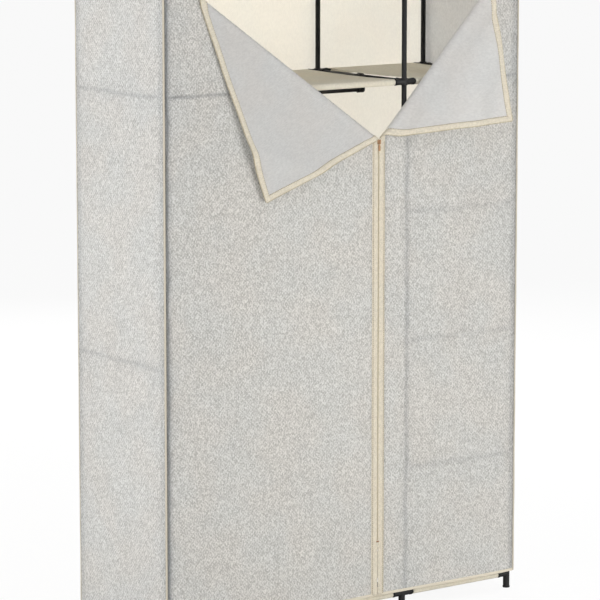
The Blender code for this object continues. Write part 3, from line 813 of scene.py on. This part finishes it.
def make_shelf(node, bay, level, seed):
    x_low = post_x[bay[0]] + ARM_LENGTH + SHELF_SETBACK
    x_high = post_x[bay[1]] - ARM_LENGTH - SHELF_SETBACK
    front, back = post_y["front"], post_y["back"]
    profile = shelf_profile(front, back)
    arcs = [0.0]
    for a, b in zip(profile, profile[1:]):
        arcs.append(arcs[-1] + math.dist(a, b))

    def shape(x, run):
        y, rise = profile[min(range(len(arcs)), key=lambda i: abs(arcs[i] - run))]
        share = (y - front) / (back - front)
        along = (x - x_low) / (x_high - x_low)
        if 0 < share < 1 and rise > 0.004:
            inner = smooth(min(share, 1 - share) / 0.12)
            sag = math.sin(math.pi * share) * (0.55 + 0.45 * math.sin(math.pi * along))
            rise += 0.0011 * wrinkles(x * 1.6, y * 3.0, seed) * inner - SHELF_SAG * sag
        return at(x, y, level_z[level] + rise)

    tubes = {0: "base_tube", 4: "shelf_tube"}.get(level)
    size = "wide" if bay[0] == "left" else "narrow"
    rests = [f"steel_{tubes}_{depth}_{size}_bay" for depth in DEPTHS] if tubes else []
    sheet(
        f"cloth_{node}", node, cloth_mesh(steps(x_low, x_high, 0.010), arcs, shape), ["cream_shelf"],
        "cream_cloth", (x_high - x_low, arcs[-1]), "stretched", rests, thick=SHELF_CLOTH,
    )


class WARDROBE_OT_shelves(bpy.types.Operator):
    """Cream shelves with a sleeve round their front and back tubes"""

    bl_idname = "wardrobe.shelves"
    bl_label = "Shelves"

    def execute(self, context):
        make_shelf("wide_shelf_bottom", ("left", "centre"), 0, 1.0)
        make_shelf("wide_shelf_top", ("left", "centre"), 4, 2.0)
        for tier in range(5):
            make_shelf(f"narrow_shelf_{tier}", ("centre", "right"), tier, 3.0 + tier)
        return {"FINISHED"}


# Cover


def edge_fade(value, low, high, width):
    """One inside a panel and nought at its two edges."""
    return smooth((value - low) / width) * smooth((high - value) / width)


def groove(value, place, width):
    """One at a line in the cloth, nought away from it."""
    return math.exp(-(((value - place) / width) ** 2))


class Fold:
    """The fold between a door and its turned-out corner, with the soft roll of cloth along it.

    A place on the corner is given where it is when the door is shut. The roll's angle about the fold
    is solved at each distance from it, up to the far end of the fold's range."""

    def __init__(self, side):
        joint = joints[f"{side}_flap_fold"]
        self.side = side
        self.way = -1 if side == "left" else 1
        self.vee = Vector(joint["pos_m"])
        along = Vector(joint["axis"]).normalized()
        self.along = along if along.z > 0 else -along
        over = Vector((self.along.z, 0, -self.along.x))
        self.over = over if over.z > 0 else -over
        self.out = Vector((0, -1, 0))
        self.angle = math.radians(joint["range_deg"][1])
        self.reach = ROLL_REACH[side]
        self.vee_x = self.vee.x - corner.x
        self.slope = self.along.z / abs(self.along.x)
        self.end_x = self.vee_x + self.along.x * (OPENING_TOP - self.vee.z) / self.along.z
        self.table = [self.solve(i * 0.001) for i in range(600)]

    def plane(self, way=1):
        """The fold as a plane in the front's own X and Z, its normal towards the corner, or away."""
        return Vector((self.vee_x, self.vee.z, 0)), Vector((self.over.x, self.over.z, 0)) * way

    def solve(self, off):
        """Angle about the fold, from shut, at a distance from it."""
        low, high = 0.0, self.angle
        for _ in range(40):
            mid = (low + high) / 2
            share = ROLL_SHARE - off * math.cos(mid + ROLL_LEAN) / self.reach
            if self.angle * smooth(share) > mid:
                low = mid
            else:
                high = mid
        return low

    def flat(self, x, z):
        """Distances along and away from the fold of a place on the shut corner."""
        rel = Vector((x - self.vee_x, 0, z - self.vee.z))
        return rel.dot(self.along), rel.dot(self.over)

    def base(self, x, z):
        along, off = self.flat(x, z)
        place = max(off, 0.0) * 1000
        i = min(int(place), len(self.table) - 2)
        angle = self.table[i] + (self.table[i + 1] - self.table[i]) * (place - i)
        spot = self.vee + self.along * along
        spot += (self.over * math.cos(angle) + self.out * math.sin(angle)) * off
        inner = smooth((off - 0.6 * self.reach) / 0.08)
        wave = 0.0045 * wrinkles(along * 1.7, off * 2.4, 3.0 if self.side == "left" else 8.0)
        spot += self.out * inner * (wave + self.crease(along, off))
        return spot

    def crease(self, along, off):
        """Soft creases across the turned-out corner, in metres."""
        if self.side == "left":
            return 0.008 * groove(off - 0.35 * along, 0.12, 0.025) + 0.008 * groove(off, 0.21, 0.06)
        return 0.009 * groove(off + 0.4 * along, 0.26, 0.035)

    def spot(self, x, z, lift=0.0):
        """Where a place on the shut corner is at rest, lifted off its inner face."""
        here = self.base(x, z)
        if not lift:
            return here
        step = 0.0005
        across = self.base(x + step, z) - here
        up = self.base(x, z + step) - here
        return here - across.cross(up).normalized() * lift

    def blend(self, obj):
        """Bakes a piece's place into its mesh and gives it back."""
        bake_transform(obj)
        return obj


fold_of = cache(Fold)


def front_out(x, z):
    """How far the front stands out at a place: a soft belly in each bay, grooves at the tubes."""
    bay = (0, post_x["centre"]) if x < post_x["centre"] else (post_x["centre"], WIDTH)
    share = (x - bay[0]) / (bay[1] - bay[0])
    out = sizes().belly * (0.35 + 0.65 * math.sin(math.pi * share)) * smooth((PANEL_TOP - z) / 0.5)
    out += sizes().wrinkle * wrinkles(x, z, 12.0)
    levels = (4,) if x < post_x["centre"] else (1, 2, 3, 4)
    for level in levels:
        out -= 0.0016 * groove(z, level_z[level], 0.009)
    return out


def side_out(side, y, z):
    """How far a side stands out at a place."""
    fade = edge_fade(y, SIDE_INSET, DEPTH - SIDE_INSET, 0.05) * smooth((PANEL_TOP - z) / 0.06)
    out = sizes().belly + 1.2 * sizes().wrinkle * wrinkles(y * 1.3, z, SIDE_SEEDS[side])
    for level in (2, 4):
        out -= 0.0015 * groove(z, level_z[level], 0.009)
    return out * fade


def back_out(x, z):
    """How far the back stands out at a place."""
    fade = edge_fade(x, PANEL_EDGE, WIDTH - PANEL_EDGE, 0.05) * smooth((PANEL_TOP - z) / 0.06)
    return (sizes().belly * 0.6 + sizes().wrinkle * wrinkles(x, z, 33.0)) * fade


def hanging(node, across, shape, finishes, slot, cell):
    """A panel that hangs from the top frame to the hem."""
    mesh = cloth_mesh(steps(*across, cell), steps(HEM, PANEL_TOP, cell), shape)
    flat = (across[1] - across[0], PANEL_TOP - HEM)
    sheet(f"cloth_{node}", node, mesh, finishes, slot, flat, "hung", ["fittings_top_frame"])


def make_side_panel(side):
    x, way = (0, -1) if side == "left" else (WIDTH, 1)

    def shape(depth, z):
        y = way * depth
        return at(x + way * side_out(side, y, z), y, z)

    across = sorted((way * SIDE_INSET, way * (DEPTH - SIDE_INSET)))
    hanging(f"{side}_side_panel", across, shape, ["heather_side", "heather_reverse"],
            "heather_cloth", sizes().cell)


class WARDROBE_OT_side_panels(bpy.types.Operator):
    """Left and right sides of the cover"""

    bl_idname = "wardrobe.side_panels"
    bl_label = "Side panels"

    def execute(self, context):
        for side in ("left", "right"):
            make_side_panel(side)
        return {"FINISHED"}


class WARDROBE_OT_back_panel(bpy.types.Operator):
    """Cream back of the cover"""

    bl_idname = "wardrobe.back_panel"
    bl_label = "Back panel"

    def execute(self, context):
        hanging(
            "back_panel", (PANEL_EDGE - WIDTH, -PANEL_EDGE),
            lambda x, z: at(-x, DEPTH + back_out(-x, z), z), ["cream_spunbond"], "cream_cloth", 0.012,
        )
        return {"FINISHED"}


class WARDROBE_OT_roof(bpy.types.Operator):
    """Roof of the cover"""

    bl_idname = "wardrobe.roof"
    bl_label = "Roof"

    def execute(self, context):
        low, high = PIPING_OUT, WIDTH - PIPING_OUT
        near, far = PIPING_OUT, DEPTH - PIPING_OUT

        def shape(x, y):
            bay = (low, post_x["centre"]) if x < post_x["centre"] else (post_x["centre"], high)
            dip = 0.0045 * math.sin(math.pi * (x - bay[0]) / (bay[1] - bay[0]))
            dip *= math.sin(math.pi * (y - near) / (far - near))
            fade = edge_fade(x, low, high, 0.05) * edge_fade(y, near, far, 0.05)
            dip += 0.5 * sizes().wrinkle * (1 + wrinkles(x * 1.5, y * 3, 41.0)) * fade
            return at(x, y, ROOF_TOP - dip)

        mesh = cloth_mesh(steps(low, high, 0.010), steps(near, far, 0.010), shape)
        sheet("cloth_roof", "roof_panel", mesh, PLAIN, "heather_cloth", (high - low, far - near),
              "stretched", ["fittings_top_frame"])
        return {"FINISHED"}


class WARDROBE_OT_header(bpy.types.Operator):
    """Strip of cloth above the opening"""

    bl_idname = "wardrobe.header"
    bl_label = "Header"

    def execute(self, context):
        low = OPENING_TOP + BEAD_OFFSET + 0.002

        def shape(x, z):
            fade = edge_fade(x, PANEL_EDGE, WIDTH - PANEL_EDGE, 0.03)
            fade *= smooth((PANEL_TOP - z) / 0.02) * smooth((z - low) / 0.02)
            return at(x, -0.6 * sizes().wrinkle * (1 + wrinkles(x, z, 17.0)) * fade, z)

        mesh = cloth_mesh(
            steps(PANEL_EDGE, WIDTH - PANEL_EDGE, 0.010), steps(low, PANEL_TOP, 0.008), shape,
        )
        sheet("cloth_header", "header", mesh, PLAIN, "heather_cloth",
              (WIDTH - 2 * PANEL_EDGE, PANEL_TOP - low), "hung", ["cloth_roof"])
        return {"FINISHED"}


def make_door(side):
    """A door from its hem to the fold, and to the opening's top past the fold's end."""
    fold = fold_of(side)
    top = OPENING_TOP - BEAD_OFFSET
    near = ZIP_X + fold.way * TAPE_WIDTH
    far = PANEL_EDGE if side == "left" else WIDTH - PANEL_EDGE
    across = sorted((near, far))

    def shape(x, z):
        fade = edge_fade(x, *across, 0.045) * smooth((OPENING_TOP - z) / 0.05)
        fade *= smooth(-fold.flat(x, z)[1] / 0.12)
        return at(x, -front_out(x, z) * fade, z)

    cell = sizes().cell
    mesh = cloth_mesh(steps(*across, cell), steps(HEM, top, cell), shape, [fold.plane()])
    wide, tall = across[1] - across[0], top - HEM
    fold_at_near = fold.vee.z + TAPE_WIDTH * fold.slope
    cut_away = abs(fold.end_x - near) * (top - fold_at_near) / 2
    sheet(f"cloth_{side}_door", f"{side}_door", mesh, FRONT, "heather_cloth", (wide, tall), "hung",
          ["fittings_top_frame"], area=wide * tall - cut_away)


class WARDROBE_OT_doors(bpy.types.Operator):
    """Left and right doors below their folds"""

    bl_idname = "wardrobe.doors"
    bl_label = "Doors"

    def execute(self, context):
        for side in ("left", "right"):
            make_door(side)
        return {"FINISHED"}


def make_flap(side):
    """A corner of the front, turned out over its door."""
    fold = fold_of(side)
    zip_edge = ZIP_X + fold.way * BEAD_OFFSET
    top = OPENING_TOP - BEAD_OFFSET
    along = Vector((fold.along.x, fold.along.z, 0))
    tip = fold.plane()[0] + along * 0.010
    across = sorted((fold.end_x, zip_edge))
    mesh = cloth_mesh(steps(*across, CORNER_CELL), steps(fold.vee.z, top, CORNER_CELL), fold.spot,
                      [fold.plane(-1), (tip, -along)])
    obj = piece(mesh, f"cloth_{side}_flap", PLAIN, [f"{side}_flap"], None, 60)
    hollow(obj, CLOTH_DRAWN, 1)
    fold.blend(obj)
    sewn_on = [make(fold, zip_edge, top) for make in (flap_tape, flap_teeth, flap_stitches)]


def flap_tape(fold, zip_edge, top):
    """Zip tape along the two free edges of a turned-out corner, on its inner face."""
    wide = FLAP_TAPE
    mitre = Vector((zip_edge, top, 0))
    slant = Vector((fold.way, 1, 0)).normalized()

    def shape(x, z):
        edge = min(abs(x - zip_edge), abs(top - z))
        crown = 0.0014 * math.sin(math.pi * min(edge / wide, 1.0)) ** 0.7
        return fold.spot(x, z, CLOTH_DRAWN + 0.0004 + crown)

    across = sorted((zip_edge, zip_edge + fold.way * wide))
    along = sorted((zip_edge, fold.end_x))
    strips = [
        cloth_mesh(steps(*across, 0.0025), steps(fold.vee.z, top, CORNER_CELL), shape,
                   [fold.plane(-1), (mitre, slant)]),
        cloth_mesh(steps(*along, CORNER_CELL), steps(top - wide, top, 0.0025), shape,
                   [fold.plane(-1), (mitre, -slant)]),
    ]
    obj = piece(joined_mesh(strips), f"tape_{fold.side}_flap", ["polyester_tape"],
                body=None, angle=60)
    hollow(obj, -0.0005)
    return fold.blend(obj)


def sewn_frame(fold, x, z, side, run, lift):
    """A tooth or stitch on a turned-out corner: its place, and the ways across and along it."""
    spot = fold.spot(x, z, lift)
    ways = [fold.spot(x + step_x, z + step_z, lift) - spot for step_x, step_z in (side, run)]
    return spot, *ways


def flap_stitches(fold, zip_edge, top):
    """Seam that holds the zip tape to a turned-out corner, along the tape's inner edge."""
    pitch = sizes().stitch_pitch
    in_x, in_z = zip_edge + fold.way * (FLAP_TAPE + 0.0004), top - FLAP_TAPE - 0.0004
    low = fold.vee.z + (FLAP_TAPE + BEAD_OFFSET) * fold.slope + 0.006
    far = fold.end_x - fold.way * (FLAP_TAPE / fold.slope + 0.006)
    lift = CLOTH_DRAWN + 0.0002
    upright, level = (0.0, 0.001), (0.001, 0.0)
    frames = [sewn_frame(fold, in_x, z, level, upright, lift) for z in steps(low, in_z, pitch)]
    frames += [sewn_frame(fold, x, in_z, upright, level, lift) for x in steps(in_x, far, pitch)]
    return fold.blend(stitch_piece(f"stitches_{fold.side}_flap", frames, None))


def teeth_piece(name, frames, size, body=BODY):
    return piece(tooth_mesh(frames, *size), name, ["nylon_coil"], (), body, 80)


def stitch_piece(name, frames, body=BODY):
    mesh = tooth_mesh(frames, 0.0008, sizes().stitch_pitch * 0.44, 0.0006)
    return piece(mesh, name, ["sewing_thread"], (), body, 80)


def tooth_mesh(frames, across, along, deep):
    """Many small rounded teeth, one at each frame: place, way across and way along the zip."""
    bm = bmesh.new()
    for spot, side_way, run_way in frames:
        normal = side_way.cross(run_way).normalized()
        turn = Matrix((side_way.normalized(), run_way.normalized(), normal)).transposed().to_4x4()
        bmesh.ops.create_icosphere(
            bm, subdivisions=1, radius=1.0,
            matrix=Matrix.Translation(spot) @ turn @ Matrix.Diagonal((across, along, deep, 1)),
        )
    return mesh_of(bm)


def flap_teeth(fold, zip_edge, top):
    """Open rows of teeth along a turned-out corner's zip edge and its top edge."""
    pitch = sizes().tooth_pitch
    frames = []
    for z in steps(fold.vee.z + 0.008, top - 0.004, pitch):
        frames.append(sewn_frame(
            fold, zip_edge, z, (fold.way * 0.001, 0), (0, 0.001), CLOTH_DRAWN,
        ))
    for x in steps(zip_edge + fold.way * 0.004, fold.end_x - fold.way * 0.012, pitch):
        frames.append(sewn_frame(fold, x, top, (0, -0.001), (0.001, 0), CLOTH_DRAWN))
    frames = [(spot, -side_way, run) for spot, side_way, run in frames]
    return fold.blend(teeth_piece(f"teeth_{fold.side}_flap", frames, OPEN_TOOTH, None))


class WARDROBE_OT_flaps(bpy.types.Operator):
    """Turned-out corners of the front, with their tapes and teeth"""

    bl_idname = "wardrobe.flaps"
    bl_label = "Turned-out corners"

    def execute(self, context):
        for side in ("left", "right"):
            make_flap(side)
        return {"FINISHED"}


# Seams and edges


def wavy(points, height, seed, way):
    """Points moved a little along a way, as a sewn cord wanders."""
    return [
        p + way * height * noise.noise(Vector((p.x * 9, p.y * 9 + seed, p.z * 9))) for p in points
    ]


def line_points(start, end):
    count = max(1, round((end - start).length / 0.012))
    return [start.lerp(end, i / count) for i in range(count + 1)]


class WARDROBE_OT_piping(bpy.types.Operator):
    """Cream piping in the upright seams and round the roof"""

    bl_idname = "wardrobe.piping"
    bl_label = "Piping"

    def execute(self, context):
        inset = PIPING_OUT
        uprights = []
        for x, out_x in ((inset, -1), (WIDTH - inset, 1)):
            for y, out_y in ((inset, -1), (DEPTH - inset, 1)):
                way = Vector((out_x, out_y, 0)).normalized()
                points = line_points(at(x, y, HEM), at(x, y, PANEL_TOP))
                uprights.append(wavy(points, 0.0007, x + y * 5, way))
        piece(cord_mesh(uprights, PIPING_DRAWN), "piping_uprights", ["polyester_piping"])
        z = ROOF_TOP - inset
        ring = [at(inset, inset, z), at(WIDTH - inset, inset, z), at(WIDTH - inset, DEPTH - inset, z),
                at(inset, DEPTH - inset, z)]
        points = []
        for a, b in zip(ring, ring[1:] + ring[:1]):
            points += line_points(a, b)[:-1]
        piece(cord_mesh([points], PIPING_DRAWN, cyclic=True), "piping_roof", ["polyester_piping"])
        return {"FINISHED"}


class WARDROBE_OT_hem(bpy.types.Operator):
    """Cream binding folded round the lower edge of the cover"""

    bl_idname = "wardrobe.hem"
    bl_label = "Hem binding"

    def execute(self, context):
        z = HEM + HEM_RISE
        half = CLOTH_DRAWN / 2
        inset = PIPING_OUT + PIPING_RADIUS

        def front(x):
            across = (PANEL_EDGE, ZIP_X - TAPE_WIDTH)
            if x >= ZIP_X:
                across = (ZIP_X + TAPE_WIDTH, WIDTH - PANEL_EDGE)
            return at(x, half - front_out(x, HEM) * edge_fade(x, *across, 0.045), z)

        def end(side, x, way):
            return [
                at(x + way * (side_out(side, y, HEM) - half), y, z)
                for y in steps(inset, DEPTH - inset, 0.008)
            ]

        runs = {
            "front": [front(x) for x in steps(inset, WIDTH - inset, 0.008)],
            "left": end("left", 0, -1),
            "right": end("right", WIDTH, 1),
            "back": [
                at(x, DEPTH + back_out(x, HEM) - half, z) for x in steps(inset, WIDTH - inset, 0.012)
            ],
        }
        for name, points in runs.items():
            binding = strip_mesh(points, HEM_HEIGHT, HEM_THICK)
            piece(binding, f"hem_{name}", ["polyester_tape"])
        return {"FINISHED"}


# Zips


def make_tape(side):
    """Half of the upright zip's tape, rising from the door to the fold beside the teeth."""
    fold = fold_of(side)
    way = fold.way
    top = fold.vee.z + TAPE_WIDTH * fold.slope

    def shape(x, z):
        off = abs(x - ZIP_X)
        share = min(off / TAPE_WIDTH, 1.0)
        crown = 0.0019 * math.sin(math.pi * share ** 0.75) ** 0.8
        dip = 0.0006 * (1 - share) if z > STOP_HEIGHT else -0.0016 * groove(off, 0.0, 0.003)
        ripple = 0.0007 * noise.noise(Vector((x * 30, z * 9, 5.0 + way))) * share
        return at(x, 0.0004 - crown + dip - ripple, z)

    across = sorted((ZIP_X + way * 0.0010, ZIP_X + way * (TAPE_WIDTH + 0.0006)))
    mesh = cloth_mesh(steps(*across, 0.0016), steps(HEM, top, 0.008), shape, [fold.plane()])
    sheet(f"tape_{side}_zip", f"{side}_zip_tape", mesh, ["polyester_tape"], "cream_tape",
          (TAPE_WIDTH, top - HEM), "stretched", [f"cloth_{side}_door"], thick=0.0007,
          area=TAPE_WIDTH * (top - HEM) * 0.99)


class WARDROBE_OT_zips(bpy.types.Operator):
    """Tapes, teeth and stop of the zips"""

    bl_idname = "wardrobe.zips"
    bl_label = "Zips"

    def execute(self, context):
        for side in ("left", "right"):
            make_tape(side)
        pitch = sizes().tooth_pitch
        vee_z = joints["left_flap_fold"]["pos_m"][2]
        up, level = Vector((0, 0, 1)), Vector((1, 0, 0))
        closed = []
        for row, z in enumerate(steps(STOP_HEIGHT + 0.002, vee_z - 0.012, pitch / 2)):
            way = 1 if row % 2 else -1
            closed.append((at(ZIP_X + way * 0.0008, 0.0006, z), level * way, up))
        teeth_piece("teeth_upright", closed, CLOSED_TOOTH)
        ends = [fold_of(side).end_x for side in ("left", "right")]
        header = [
            (at(x, CLOTH / 2, OPENING_TOP + BEAD_OFFSET), -up, level)
            for x in steps(ends[0] - 0.022, ends[1] + 0.022, pitch)
        ]
        teeth_piece("teeth_header", header, OPEN_TOOTH)
        stitch_piece("stitches_upright", [
            (at(ZIP_X + way * (TAPE_WIDTH - 0.0035), -0.0013, z), level, up)
            for way in (-1, 1)
            for z in steps(HEM + 0.006, vee_z - 0.006, sizes().stitch_pitch)
        ])
        stop = block(at(ZIP_X, 0.0002, STOP_HEIGHT - 0.002), (0.0085, 0.0040, 0.0040))
        soften(piece(stop, "zip_stop", ["plated_zinc"]), 0.0009)
        return {"FINISHED"}


class WARDROBE_OT_sliders(bpy.types.Operator):
    """Sliders and pull"""

    bl_idname = "wardrobe.sliders"
    bl_label = "Sliders"

    def execute(self, context):
        for node in ("zip_slider", "zip_pull", "top_slider_left", "top_slider_right"):
            obj = frame["nodes"][node]
            obj.data.materials.clear()
            obj.data.materials.append(finish_named("plated_zinc"))
        return {"FINISHED"}


# Stage


CAMERA_PLACE = Vector((-4.0738, -6.1181, 2.0546))  # from the cover's corner
CAMERA_YAW = math.radians(36.185)
CAMERA_PITCH = math.radians(8.033)
CAMERA_LENS = 186.14
CAMERA_SHIFT = -0.10
# Name, place and target from the cover's corner, width and height, power and tint
LAMPS = (
    ("side", (-3.9, -0.3, 1.9), (0.1, 0.2, 0.9), (2.4, 2.4), 112, (1, 1, 1)),
    ("front", (1.6, -3.2, 1.1), (0.6, 0.2, 0.95), (1.9, 1.7), 52, (1.0, 0.985, 0.955)),
    ("back", (2.4, 4.2, 2.4), (0.5, 0.2, 1.0), (2.4, 2.4), 108, (1, 1, 1)),
    ("right", (4.9, 0.5, 1.7), (1.0, 0.2, 1.1), (2.0, 2.0), 105, (1, 1, 1)),
    ("top", (0.4, -0.6, 3.6), (0.5, 0.2, 0.9), (2.2, 1.6), 8, (1, 1, 1)),
)


def soft_light(name, place, target, size, power, tint):
    data = bpy.data.lights.new(name, "AREA")
    data.shape = "RECTANGLE"
    data.size, data.size_y = size
    data.energy = power
    data.color = tint
    obj = bpy.data.objects.new(name, data)
    bpy.context.scene.collection.objects.link(obj)
    obj.location = at(*place)
    obj.rotation_euler = (at(*target) - at(*place)).to_track_quat("-Z", "Y").to_euler()


class WARDROBE_OT_stage(bpy.types.Operator):
    """Floor, soft lights, white surroundings and camera"""

    bl_idname = "wardrobe.stage"
    bl_label = "Stage"

    def execute(self, context):
        scene = context.scene
        floor = bmesh.new()
        bmesh.ops.create_grid(floor, x_segments=1, y_segments=1, size=30)
        ground = bpy.data.objects.new("floor", mesh_of(floor))
        scene.collection.objects.link(ground)
        ground.location.z = -0.0005
        material, add = new_material("pale_floor")
        matt = add("BsdfDiffuse", {"Color": linear("ECECEA")})
        white = add("Emission", {"Color": (1, 1, 1, 1), "Strength": 1.0})
        seen = add("LightPath").outputs["Is Camera Ray"]
        share = add("Math", [seen, 0.92], operation="MULTIPLY")
        add("OutputMaterial", [add("MixShader", [share, matt, white])])
        ground.data.materials.append(material)

        scene.world = bpy.data.worlds.new("studio")
        scene.world.use_nodes = True
        scene.world.node_tree.nodes.clear()
        add = partial(add_node, scene.world.node_tree)
        path = add("LightPath").outputs
        first = add("Math", [path["Is Camera Ray"], path["Is Glossy Ray"]], operation="MAXIMUM")
        second = add("Math", [first, path["Is Transmission Ray"]], operation="MAXIMUM")
        room = add("Background", {"Color": linear("F8F8F9"), "Strength": 0.42})
        blank = add("Background", {"Color": (1, 1, 1, 1), "Strength": 1.0})
        add("OutputWorld", [add("MixShader", [second, room, blank])])

        for lamp in LAMPS:
            soft_light(*lamp)

        lens = bpy.data.cameras.new("camera")
        lens.lens = CAMERA_LENS
        lens.sensor_width = 36
        lens.shift_y = CAMERA_SHIFT
        lens.clip_end = 100
        camera = bpy.data.objects.new("camera", lens)
        scene.collection.objects.link(camera)
        camera.location = at(*CAMERA_PLACE)
        ahead = Vector((
            math.sin(CAMERA_YAW) * math.cos(CAMERA_PITCH),
            math.cos(CAMERA_YAW) * math.cos(CAMERA_PITCH), -math.sin(CAMERA_PITCH),
        ))
        camera.rotation_euler = ahead.to_track_quat("-Z", "Y").to_euler()
        scene.camera = camera
        scene.view_settings.view_transform = "Standard"
        return {"FINISHED"}


PIECES = (
    WARDROBE_OT_posts, WARDROBE_OT_level_tubes, WARDROBE_OT_fittings, WARDROBE_OT_levels,
    WARDROBE_OT_hanging_rail, WARDROBE_OT_shelves, WARDROBE_OT_back_panel,
    WARDROBE_OT_side_panels, WARDROBE_OT_roof, WARDROBE_OT_header, WARDROBE_OT_doors,
    WARDROBE_OT_flaps, WARDROBE_OT_piping, WARDROBE_OT_hem, WARDROBE_OT_zips,
    WARDROBE_OT_sliders, WARDROBE_OT_stage,
)


class WARDROBE_PT_panel(bpy.types.Panel):
    """Lists the pieces of the wardrobe"""

    bl_idname = "WARDROBE_PT_panel"
    bl_label = "Wardrobe"
    bl_space_type = "VIEW_3D"
    bl_region_type = "UI"
    bl_category = "Wardrobe"

    def draw(self, context):
        layout = self.layout
        for made in PIECES:
            layout.operator(made.bl_idname)
        for group in (context.scene.wardrobe_sizes, context.scene.wardrobe_colours):
            for name in group.__annotations__:
                layout.prop(group, name)


CLASSES = (WardrobeColours, WardrobeSizes, *PIECES, WARDROBE_PT_panel)


def register():
    for made in CLASSES:
        bpy.utils.register_class(made)
    bpy.types.Scene.wardrobe_colours = PointerProperty(type=WardrobeColours)
    bpy.types.Scene.wardrobe_sizes = PointerProperty(type=WardrobeSizes)


def unregister():
    del bpy.types.Scene.wardrobe_sizes
    del bpy.types.Scene.wardrobe_colours
    for made in reversed(CLASSES):
        bpy.utils.unregister_class(made)


def main():
    register()
    for made in PIECES:
        group, name = made.bl_idname.split(".")
        getattr(getattr(bpy.ops, group), name)()


if __name__ == "__main__":
    main()
